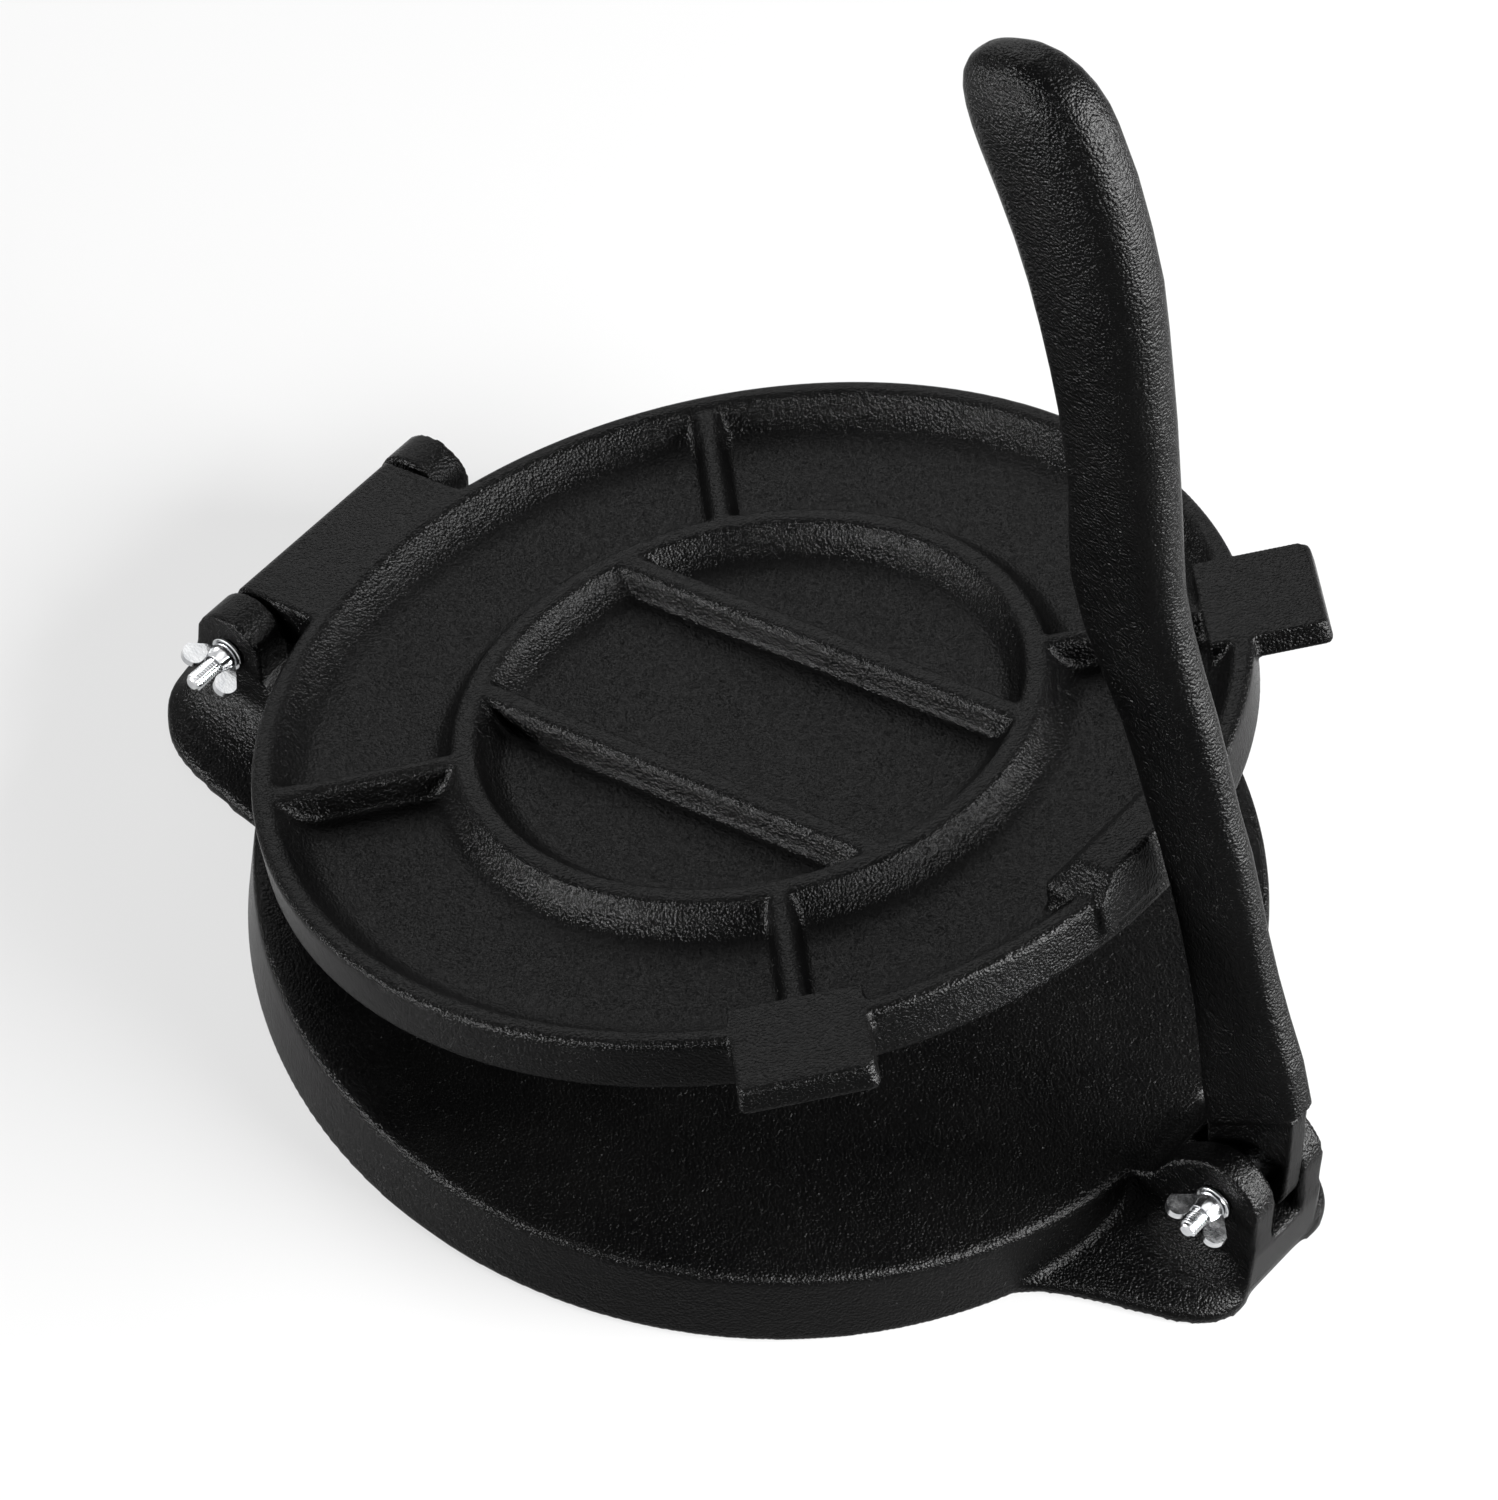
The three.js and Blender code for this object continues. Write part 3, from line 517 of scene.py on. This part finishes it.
FOOT_HALF = 66
HINGE_ROOT, HINGE_REACH, HINGE_ARM_REACH, EAR_FACE, WEB_TOP = 108, 168, 160.8, 43, 22.4
LEVER_ROOT, LEVER_REACH, EAR_OUT, ARM_FOOT_TOP = 103, 171, 14.6, 19.4
hinge_ground = spread(-HINGE_ROOT, -HINGE_REACH, FOOT_HALF, [
    (0, 1), (0.267, 0.977), (0.5, 0.952), (0.667, 0.921), (0.783, 0.873), (0.883, 0.794),
    (0.953, 0.705), (0.987, 0.598), (1, 0.455), (1, 0.182)])
hinge_arm = spread(-HINGE_ROOT, -HINGE_ARM_REACH, EAR_FACE, [
    (0, 0.991), (0.303, 0.991), (0.568, 0.991), (0.758, 0.991), (0.852, 0.988), (0.928, 0.981),
    (0.977, 0.953), (0.996, 0.884), (1, 0.698), (1, 0.279)])
lever_ground = spread(LEVER_ROOT, LEVER_REACH, FOOT_HALF, [
    (0, 1), (0.125, 0.917), (0.25, 0.815), (0.391, 0.688), (0.5625, 0.588), (0.734, 0.509),
    (0.883, 0.433), (0.963, 0.355), (1, 0.25), (0.98, 0.121)])
lever_arm = spread(LEVER_ROOT, LEVER_REACH, EAR_OUT, [
    (0, 2.39), (0.125, 1.9), (0.25, 1.444), (0.391, 1.085), (0.5625, 0.979), (0.734, 0.979),
    (0.883, 0.972), (0.96, 0.944), (0.99, 0.74), (0.985, 0.352)])
base_parts.append(foot("hinge_foot", hinge_ground, hinge_arm, HINGE_REACH, WEB_TOP))
base_parts.append(foot("lever_foot", lever_ground, lever_arm, LEVER_REACH, ARM_FOOT_TOP))

# %% [markdown]
# ## Ears and fork
# The hinge ears are thick plates with a round top about the bolt. The lever's arm is one solid
# bar that is slotted from above, which leaves a fork with two ears and a floor between them. The
# slot is cut before casting, so that its edges get soft like the rest.

# %% Ears and fork
HINGE_EAR_R = 11.5
EAR_INSIDE = 31.2
ear_back = HINGE_X - HINGE_EAR_R
ear_outline = [
    (-128, 1.6), (-128, 24.2), (-133, 24.6), *about(HINGE_X, HINGE_Z, HINGE_EAR_R, [
        (0.983, -0.348)]), *arc(HINGE_X, HINGE_Z, HINGE_EAR_R, 18, 180, 30),
    (ear_back - 1.2, HINGE_Z / 2), (ear_back - 1.68, 1.6)]
base_parts.append(pushed("ear", ear_outline, EAR_INSIDE, EAR_FACE, ROUNDED))
base_parts.append(pushed("ear", ear_outline, -EAR_FACE, -EAR_INSIDE, ROUNDED))

PIVOT_X, PIVOT_Z = pivot.x / MM, pivot.z / MM
EAR_R = 12.7
SLOT_HALF = 5.7
SLOT_R = 13.4
slot_floor = PIVOT_Z - SLOT_R
arm_outline = [
    (118, 5), (118, 22.6), (128, 23.8), (133, 24.4), *about(PIVOT_X, PIVOT_Z, EAR_R, [
        (-1.53, -0.47), (-1.355, -0.08), (-1.1, 0.36), (-0.85, 0.6)]),
    *arc(PIVOT_X, PIVOT_Z, EAR_R, 128, 8, 24),
    *about(PIVOT_X, PIVOT_Z, EAR_R, [(1.04, -0.55), (1.09, -1.1)]),
    (PIVOT_X + EAR_R * 1.09, 5)]
slot_outline = [
    (LEVER_REACH + 12, slot_floor), *arc(PIVOT_X, PIVOT_Z, SLOT_R, -90, -150, 12),
    *about(PIVOT_X, PIVOT_Z, SLOT_R, [(-1.224, -0.19), (-1.27, 0.15), (-1.31, 2)]),
    (LEVER_REACH + 12, 61)]
arm = pushed("arm", arm_outline, -EAR_OUT, EAR_OUT, ROUNDED)
base_parts.append(drilled(arm, pushed("slot", slot_outline, -SLOT_HALF, SLOT_HALF)))

# %% [markdown]
# ## Casting the base
# The base is cast like the lid. It's larger and has broader fillets, so its voxels are coarser.
# Both bolt holes are drilled right through, from one side to the other.

# %% Cast and drill the base
base = cast(joined("iron_base", base_parts), voxel=1.1, rounds=2, keep=0.5)
for line in (hinge, pivot):
    drilled(base, rod("drill", line, BOLT_HOLE_R, -DRILL_REACH, DRILL_REACH))
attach(base, "base")
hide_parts("base_plate")

# %% [markdown]
# ## The lever
# The lever swells from a thin tongue to a wide flat shank and ends in a rounded grip that sits in
# the palm. Rings across it at close steps, each with its own width, thickness and squareness,
# give the whole run in one skin. The tongue and its barrel are drawn from the side and joined on.
# The tongue is thinner than the slot, and the lever lies against the far ear, as the photo shows.

# %% Rings along the lever
LEVER_Y = 1.95
LEVER_LONG, LEVER_HALF, LEVER_THICK = 300, 19, 10.8
# shares of its length from the bolt (x, height), of half width and half thickness; squareness
STATIONS = [
    (0.0087, 0.03, 0.8, 0.486, 6), (-0.0073, 0.0813, 0.805, 0.491, 5),
    (-0.022, 0.1367, 0.768, 0.5, 4), (-0.037, 0.1783, 0.705, 0.509, 3.6),
    (-0.0517, 0.2197, 0.663, 0.519, 3.3), (-0.0663, 0.2613, 0.653, 0.528, 3),
    (-0.0813, 0.303, 0.668, 0.537, 2.9), (-0.097, 0.3447, 0.684, 0.556, 2.8),
    (-0.1157, 0.3863, 0.684, 0.583, 2.7), (-0.1323, 0.4277, 0.7, 0.611, 2.6),
    (-0.1503, 0.4693, 0.715, 0.648, 2.6), (-0.172, 0.5107, 0.753, 0.685, 2.6),
    (-0.1917, 0.5513, 0.8, 0.722, 2.5), (-0.2073, 0.594, 0.816, 0.759, 2.5),
    (-0.2147, 0.638, 0.79, 0.796, 2.5), (-0.221, 0.682, 0.765, 0.833, 2.5),
    (-0.2297, 0.7253, 0.77, 0.861, 2.5), (-0.2393, 0.769, 0.79, 0.889, 2.5),
    (-0.2507, 0.812, 0.821, 0.926, 2.5), (-0.263, 0.8547, 0.863, 0.963, 2.5),
    (-0.2763, 0.8967, 0.911, 0.991, 2.5), (-0.2933, 0.9377, 0.945, 1, 2.5),
    (-0.313, 0.9777, 0.985, 1, 2.5), (-0.3347, 1.0147, 1, 0.981, 2.5),
]
TIP = [(0.22, 0.985, 0.985), (0.44, 0.93, 0.94), (0.62, 0.85, 0.86), (0.78, 0.72, 0.74),
       (0.9, 0.54, 0.57), (0.97, 0.33, 0.36), (1, 0.12, 0.14)]
TIP_LONG, TIP_LEAN = 24, 4


def lever_ring(at, side, half, thick, square, count=40):
    """A rounded outline across the lever; a higher squareness makes flatter sides."""
    ring = []
    for i in range(count):
        a = 2 * math.pi * (i + 0.5) / count
        c, s = math.cos(a), math.sin(a)
        reach = (abs(c) ** square + abs(s) ** square) ** (-1 / square)
        out = at + side * half * c * reach
        ring.append(mm(out.x, LEVER_Y + thick * s * reach, out.y))
    return ring


middles = [Vector((PIVOT_X + LEVER_LONG * x, PIVOT_Z + LEVER_LONG * z)) for x, z, *_ in STATIONS]
rings = []
for k, (_, _, half, thick, square) in enumerate(STATIONS):
    way = (middles[min(k + 1, len(middles) - 1)] - middles[max(k - 1, 0)]).normalized()
    side = Vector((way.y, -way.x))
    rings.append(lever_ring(middles[k], side, LEVER_HALF * half, LEVER_THICK * thick, square))
for on, wide, thin in TIP:
    at = middles[-1] + way * TIP_LONG * on - side * TIP_LEAN * on * on
    rings.append(lever_ring(at, side, LEVER_HALF * half * wide, LEVER_THICK * thick * thin,
                            square))
shank = stacked("shank", rings)

# %% [markdown]
# ## Shoulder and tongue
# Where the thick shank meets the fork it ends in a slanted shoulder, and only a thin tongue goes
# on between the ears. The shoulder is one straight cut through the skin of rings. The tongue is
# a side outline with a round end about the bolt, pushed out to its thickness.

# %% Shoulder, tongue and casting
SHOULDER_SLANT = math.radians(42.4)
SHOULDER_OVER_BOLT = 15.2
CUT_REACH = 75
shoulder_way = Vector((math.cos(SHOULDER_SLANT), math.sin(SHOULDER_SLANT)))
shoulder_side = Vector((shoulder_way.y, -shoulder_way.x))
shoulder_at = Vector((PIVOT_X, PIVOT_Z)) - shoulder_side * SHOULDER_OVER_BOLT
drilled(shank, pushed("shoulder_cut", [
    tuple(shoulder_at + shoulder_way * CUT_REACH * along + shoulder_side * CUT_REACH * down)
    for along, down in ((-1, 0), (1, 0), (1, 1), (-1, 1))], -CUT_REACH, CUT_REACH))
TONGUE_R = 12.2
TONGUE_HALF = 3.4
tongue = pushed("tongue", [
    *arc(PIVOT_X, PIVOT_Z, TONGUE_R, 190, 360, 30), *about(PIVOT_X, PIVOT_Z, TONGUE_R, [
        (0.97, 0.82), (0.86, 2.3), (-0.1, 2.75), (-1.23, 2.13), (-1.13, 0.82)])],
    LEVER_Y - TONGUE_HALF, LEVER_Y + TONGUE_HALF, 0.8)
lever = cast(joined("iron_lever", [shank, tongue]), voxel=0.6, rounds=3, keep=0.6)
drilled(lever, rod("drill", pivot, BOLT_HOLE_R, -DRILL_REACH, DRILL_REACH))
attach(lever, "lever")
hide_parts("lever_handle")

# %% [markdown]
# ## Bolts
# The bolts are M5: 5 mm across the thread with a 0.8 mm pitch. A thread is a small triangular
# ridge wound round a core, and the Screw modifier winds it: one turn, lifted by the pitch, and
# repeated. The core and its rounded tip are spun, and the hexagon head starts as a six-sided
# cylinder.

# %% Threaded bolts
PITCH = 0.8
BOLT_R = 2.5
CORE_R = 2.05
HEAD_ACROSS, HEAD_HIGH = 8, 3.5
SEAT_GAP = 0.3


def threaded_bolt(name, centre, head_face, end, thread_long):
    """A bolt along Y, its head at +Y and its thread at the -Y end."""
    core = spun(name, [
        (0, 0), (CORE_R - 0.5, 0), (CORE_R, 0.5), (CORE_R, thread_long),
        (BOLT_R - 0.05, thread_long + 0.6), (BOLT_R - 0.05, head_face - end + 0.5),
        (0, head_face - end + 0.5)], 48)
    ridge = drawn("ridge", [mm(CORE_R - 0.25, 0, 0), mm(BOLT_R, 0, PITCH * 0.44),
                            mm(BOLT_R, 0, PITCH * 0.56), mm(CORE_R - 0.25, 0, PITCH)],
                  filled=False)
    only(ridge)
    bpy.ops.object.modifier_add(type="SCREW")
    winding = ridge.modifiers[-1]
    winding.screw_offset = PITCH * MM
    winding.iterations = int(thread_long / PITCH) - 1
    winding.steps = winding.render_steps = 28
    bpy.ops.object.modifier_apply(modifier=winding.name)
    ridge.data.transform(Matrix.Translation((0, 0, PITCH * MM * 0.6)))
    tidied(ridge)
    edit(ridge)
    bpy.ops.mesh.select_all(action="DESELECT")
    bpy.ops.mesh.select_non_manifold()
    bpy.ops.mesh.fill()
    tidied(ridge)
    bpy.ops.object.select_all(action="DESELECT")
    bpy.ops.mesh.primitive_cylinder_add(
        vertices=6, radius=HEAD_ACROSS / math.sqrt(3) * MM, depth=HEAD_HIGH * MM,
        location=(0, 0, (head_face - end + HEAD_HIGH / 2) * MM), rotation=(0, 0, math.pi / 6))
    head = bpy.context.object
    bpy.ops.object.transform_apply(location=True, rotation=True)
    edit(head)
    bpy.ops.mesh.bevel(offset=0.3 * MM, segments=2, affect="EDGES")
    bpy.ops.object.mode_set(mode="OBJECT")
    bolt = joined(name, [core, ridge, head])
    bolt.data.transform(Matrix.Translation((centre.x, end * MM, centre.z))
                        @ Matrix.Rotation(-math.pi / 2, 4, "X"))
    only(bolt)
    bpy.ops.object.shade_smooth_by_angle(angle=math.radians(35))
    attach(bolt, "base")
    return bolt


hinge_seat, lever_seat = EAR_FACE + SEAT_GAP, EAR_OUT + SEAT_GAP
hinge_bolt = threaded_bolt("threaded_hinge_bolt", hinge, hinge_seat, -58, 22)
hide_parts("hinge_bolt")
lever_bolt = threaded_bolt("threaded_lever_bolt", pivot, lever_seat, -27.1, 18)
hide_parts("lever_bolt")
print("bolt heads seat at", hinge_seat, "and", lever_seat, "mm from the middle")

# %% [markdown]
# ## Washers
# A washer is a flat ring stamped from sheet, which spreads the nut's force over the rough iron.
# It is a spun rectangle with its corners taken off, because even a small ring catches light on
# its edges.


# %% Washers
WASHER_THICK = 1


def flat_washer(name, centre, face, node):
    """A ring whose outer face is against the ear, at y = face."""
    ring = spun(name, [
        (2.8, 0.1), (2.9, 0), (4.8, 0), (5, 0.2), (5, 0.8), (4.8, WASHER_THICK),
        (2.9, WASHER_THICK), (2.8, 0.9), (2.8, 0.1)], 64)
    ring.data.transform(Matrix.Translation((centre.x, face * MM, centre.z))
                        @ Matrix.Rotation(math.pi / 2, 4, "X"))
    only(ring)
    bpy.ops.object.shade_smooth_by_angle(angle=math.radians(40))
    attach(ring, "base")
    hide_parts(node)
    return ring


hinge_washer = flat_washer("flat_hinge_washer", hinge, -hinge_seat, "hinge_washer")
lever_washer = flat_washer("flat_lever_washer", pivot, -lever_seat, "lever_washer")

# %% [markdown]
# ## Wing nuts
# A wing nut is a tapered hub with two thin lobes that lean outwards, away from the seat, so that
# fingers can turn it without a spanner. The hub is spun, and each lobe is a side outline with a
# round end, pushed out thin. Each nut rides on a body of its own, since it turns by itself.


# %% Wing nuts
def wing_nut(name, centre, face, turn, body, node):
    """Hub and two lobes; turn is how far round the bolt the lobes stand."""
    hub = spun("hub", [(2.8, 0), (4.0, 0), (4.1, 0.2), (3.9, 2.8), (3.3, 4.5), (3.1, 4.6),
                       (2.8, 4.6), (2.8, 0)], 48)
    lobes = []
    for side in (1, -1):
        outline = [(2.9, 0.8), (4.4, 0.9), (8.1, 4.6), *arc(5.9, 6.4, 3.1, -20, 200, 24),
                   (2.9, 4.2)]
        lobe = pushed("lobe", [(side * x, z) for x, z in outline], -1.1, 1.1, 0.5)
        lobes.append(lobe)
    nut = joined(name, [hub] + lobes)
    nut.data.transform(Matrix.Translation((centre.x, face * MM, centre.z))
                       @ Matrix.Rotation(turn, 4, "Y") @ Matrix.Rotation(math.pi / 2, 4, "X"))
    only(nut)
    bpy.ops.object.shade_smooth_by_angle(angle=math.radians(40))
    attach(nut, body)
    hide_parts(node)
    return nut


nut_over_seat = WASHER_THICK + SEAT_GAP
hinge_nut = wing_nut("hinge_wings", hinge, -hinge_seat - nut_over_seat, math.radians(18),
                     "hinge_nut", "hinge_wing_nut")
lever_nut = wing_nut("lever_wings", pivot, -lever_seat - nut_over_seat, math.radians(8),
                     "lever_nut", "lever_wing_nut")

# %% [markdown]
# ## Writing shader maths
# A material is a small calculation on every point of a surface. Node by node it is hard to read,
# so one class wraps a socket and gives it the signs of arithmetic. Behind each sign is a Math
# node. Every other node comes from one method that sets its options first and its inputs after.


# %% Finish: a material under construction
class Signal:
    """A socket that adds, multiplies and subtracts like a number."""

    def __init__(self, finish, socket):
        self.finish = finish
        self.socket = socket

    def maths(self, operation, left, right):
        return self.finish.node("ShaderNodeMath", {"operation": operation}, {0: left, 1: right})

    def __add__(self, other):
        return self.maths("ADD", self, other)

    __radd__ = __add__

    def __sub__(self, other):
        return self.maths("SUBTRACT", self, other)

    def __rsub__(self, other):
        return self.maths("SUBTRACT", other, self)

    def __mul__(self, other):
        return self.maths("MULTIPLY", self, other)

    __rmul__ = __mul__


class Finish:
    """One material, its Principled shader and the nodes that feed it."""

    def __init__(self, name):
        self.material = bpy.data.materials.new(name)
        self.material.use_nodes = True
        self.tree = self.material.node_tree
        self.tree.nodes.clear()
        self.shader = self.tree.nodes.new("ShaderNodeBsdfPrincipled")
        output = self.tree.nodes.new("ShaderNodeOutputMaterial")
        self.tree.links.new(self.shader.outputs[0], output.inputs["Surface"])
        self.place = self.node("ShaderNodeTexCoord", {}, {}, "Object")

    def node(self, kind, settings, inputs, output=0):
        made = self.tree.nodes.new(kind)
        for setting, value in settings.items():
            if setting == "stops":
                ramp = made.color_ramp
                while len(ramp.elements) < len(value):
                    ramp.elements.new(0.5)
                for stop, (position, level) in zip(ramp.elements, value):
                    stop.position = position
                    stop.color = (*level, 1) if isinstance(level, tuple) else (level,) * 3 + (1,)
            else:
                setattr(made, setting, value)
        for key, value in inputs.items():
            self.feed(made.inputs[key], value)
        return Signal(self, made.outputs[output])

    def feed(self, socket, value):
        if isinstance(value, Signal):
            self.tree.links.new(value.socket, socket)
        else:
            socket.default_value = value

    def noise(self, scale, detail=2, roughness=0.5):
        return self.node("ShaderNodeTexNoise", {}, {
            "Vector": self.place, "Scale": scale, "Detail": detail, "Roughness": roughness}, 0)

    def ramp(self, signal, *stops):
        return self.node("ShaderNodeValToRGB", {"stops": stops}, {"Fac": signal})

    def most(self, left, right):
        return self.node("ShaderNodeMath", {"operation": "MAXIMUM"}, {0: left, 1: right})

    def set(self, **values):
        for name, value in values.items():
            self.feed(self.shader.inputs[name.replace("_", " ")], value)


# %% [markdown]
# ## Seasoned iron
# Sand gives cast iron a pebbled skin, with grains under a millimetre across and a few deeper
# pits. Oil baked onto it turns it black with a soft sheen, so that each grain catches a spark of
# light while the flats stay dark. The grains are a Voronoi pattern broken up with noise, fed to
# a Bump node, and the sheen varies in patches where the oil lies thicker. The reflection is kept
# far below that of real oil, so that the white room doesn't turn the iron grey.

# %% Seasoned iron
iron = Finish("seasoned_iron")
grains = iron.node("ShaderNodeTexVoronoi", {"feature": "SMOOTH_F1"}, {
    "Vector": iron.place, "Scale": 1350.0, "Smoothness": 0.4, "Randomness": 1.0}, "Distance")
fine = iron.noise(2200.0, 3, 0.6)
lumps = iron.noise(230.0, 3, 0.6)
pits = iron.ramp(iron.noise(430.0, 2, 0.5), (0.30, 0.0), (0.40, 1.0))
height = (1 - grains) * 0.7 + fine * 0.6 + lumps * 0.5 + pits * 0.3
bump = iron.node("ShaderNodeBump", {}, {"Strength": 1.0, "Distance": 0.00036, "Height": height},
                 "Normal")
patches = iron.noise(26.0, 4, 0.6)
colour = iron.ramp(patches, (0.35, (0.00015, 0.00015, 0.00016)), (0.7, (0.0004, 0.00039, 0.00038)))
rough = iron.ramp(patches * 0.5 + fine * 0.5, (0.3, 0.17), (0.7, 0.28))
iron.set(Base_Color=colour, Roughness=rough, Normal=bump, Metallic=0.0, IOR=1.5,
         Specular_IOR_Level=0.03)

# %% [markdown]
# ## Bright zinc
# The fasteners are steel with a thin zinc plating: pale, metallic, and a little uneven where the
# plating bath left it duller.

# %% Bright zinc
zinc = Finish("bright_zinc")
cloud = zinc.noise(420.0, 3, 0.6)
zinc.set(
    Base_Color=zinc.ramp(cloud, (0.3, (0.47, 0.48, 0.495)), (0.7, (0.62, 0.625, 0.63))),
    Roughness=zinc.ramp(cloud, (0.3, 0.12), (0.75, 0.24)),
    Metallic=1.0,
    Normal=zinc.node("ShaderNodeBump", {}, {
        "Strength": 0.3, "Distance": 0.00008, "Height": zinc.noise(1500.0, 2, 0.5)}, "Normal"))

# %% [markdown]
# ## Which piece gets which finish
# There are only two finishes on this press: iron on the three castings and zinc on the six
# fasteners. The CAD nodes underneath get them too, so that the plain model looks right where it
# is used on its own.


# %% Put the finishes on
def finish_with(finish, *objects):
    for piece in objects:
        piece.data.materials.clear()
        piece.data.materials.append(finish.material)


finish_with(iron, lid, base, lever)
finish_with(zinc, hinge_bolt, lever_bolt, hinge_washer, lever_washer, hinge_nut, lever_nut)
for node in ("base_plate", "lid", "lever_handle"):
    finish_with(iron, frame["nodes"][node])
for node in ("hinge_bolt", "lever_bolt", "hinge_washer", "lever_washer", "hinge_wing_nut",
             "lever_wing_nut"):
    finish_with(zinc, frame["nodes"][node])

# %% [markdown]
# ## Floor and background
# The press stands on a plain pale sweep. Where the camera or a shiny skin looks at the floor it
# glows on top of the light that falls on it, so that it reads as white and still shows the
# press's soft shadow. A floor that only reflected light would need far more of it, and would
# wash out the iron.

# %% Floor
bpy.ops.object.select_all(action="DESELECT")
bpy.ops.mesh.primitive_plane_add(size=12, location=(0, 0, -0.0002))
floor = bpy.context.object
floor.name = "floor"
sweep = Finish("pale_floor")
looks = [sweep.node("ShaderNodeLightPath", {}, {}, kind)
         for kind in ("Is Camera Ray", "Is Glossy Ray", "Is Transmission Ray")]
looked_at = sweep.most(sweep.most(looks[0], looks[1]), looks[2])
sweep.set(Base_Color=(0.035, 0.035, 0.035, 1), Roughness=0.9, Emission_Color=(1, 1, 1, 1),
          Emission_Strength=looked_at * 0.68, Specular_IOR_Level=0)
finish_with(sweep, floor)

# %% [markdown]
# ## The room
# The room behind is white where the camera or a shiny skin looks at it, and gives the press
# itself only a dim, even light. A Light Path node tells the two apart.

# %% World
DIM, WHITE = 0.25, 1.0
world = bpy.data.worlds.new("studio")
bpy.context.scene.world = world
world.use_nodes = True
nodes, links = world.node_tree.nodes, world.node_tree.links
nodes.clear()
seen = nodes.new("ShaderNodeLightPath")
either = nodes.new("ShaderNodeMath")
either.operation = "MAXIMUM"
links.new(seen.outputs["Is Camera Ray"], either.inputs[0])
links.new(seen.outputs["Is Glossy Ray"], either.inputs[1])
any_look = nodes.new("ShaderNodeMath")
any_look.operation = "MAXIMUM"
links.new(either.outputs[0], any_look.inputs[0])
links.new(seen.outputs["Is Transmission Ray"], any_look.inputs[1])
pick = nodes.new("ShaderNodeMixShader")
links.new(any_look.outputs[0], pick.inputs[0])
for slot, strength in ((1, DIM), (2, WHITE)):
    room = nodes.new("ShaderNodeBackground")
    room.inputs["Strength"].default_value = strength
    room.inputs["Color"].default_value = (1, 1, 1, 1)
    links.new(room.outputs[0], pick.inputs[slot])
surface = nodes.new("ShaderNodeOutputWorld")
links.new(pick.outputs[0], surface.inputs["Surface"])

# %% [markdown]
# ## Lamps
# Black iron shows its shape by what it mirrors. A strong lamp stands low in front, and lights
# the slopes of the bars. A large one on the right lights the ring's inner slope and the grip, and
# a small low one below it the edge of the lever. A weak one behind is what the lid's flats
# mirror, and a weak one overhead softens the shadow.


# %% Lamps
def soft_lamp(name, place, aim, wide, high, power):
    """A lamp behind a white sheet, wide by high, that looks at a place on the press."""
    bpy.ops.object.select_all(action="DESELECT")
    bpy.ops.object.light_add(type="AREA", location=place)
    lamp = bpy.context.object
    lamp.name = name
    lamp.data.shape = "RECTANGLE"
    lamp.data.size = wide
    lamp.data.size_y = high
    lamp.data.energy = power
    lamp.rotation_euler = (Vector(aim) - Vector(place)).to_track_quat("-Z", "Y").to_euler()
    return lamp


soft_lamp("front", (-0.95, -1.6, 0.27), (0, 0, 0.08), 0.6, 0.5, 280)
soft_lamp("right", (1.45, 0.5, 0.8), (0, 0, 0.12), 1.3, 0.9, 620)
soft_lamp("edge", (1.5, 0.95, 0.24), (0.1, 0, 0.1), 0.7, 0.4, 110)
soft_lamp("back", (-1.5, 1.1, 0.95), (0, 0, 0), 1.5, 1.0, 42)
soft_lamp("overhead", (0.1, 0.1, 2.3), (0, 0, 0), 1.6, 1.6, 8)

# %% [markdown]
# ## Camera
# The camera looks down on the press from the lever's side with a long lens. Its place and its
# slight roll were found by matching the rim, the lever and the bolts to the photo.

# %% Camera
CAMERA_AT = (0.6748, -0.991, 1.551)
LENS = 178.57
right = Vector((0.77782, 0.62563, 0.05989))
back = Vector((0.35708, -0.51834, 0.77706))
up = back.cross(right)
bpy.ops.object.select_all(action="DESELECT")
bpy.ops.object.camera_add(location=CAMERA_AT)
camera = bpy.context.object
camera.rotation_euler = Matrix((right, up, back)).transposed().to_euler()
camera.data.sensor_width = 36
camera.data.sensor_fit = "HORIZONTAL"
camera.data.lens = LENS
camera.data.clip_end = 50
bpy.context.scene.camera = camera
bpy.context.scene.view_settings.view_transform = "Standard"
print("camera", round(Vector(CAMERA_AT).length, 2), "m from the middle of the press")
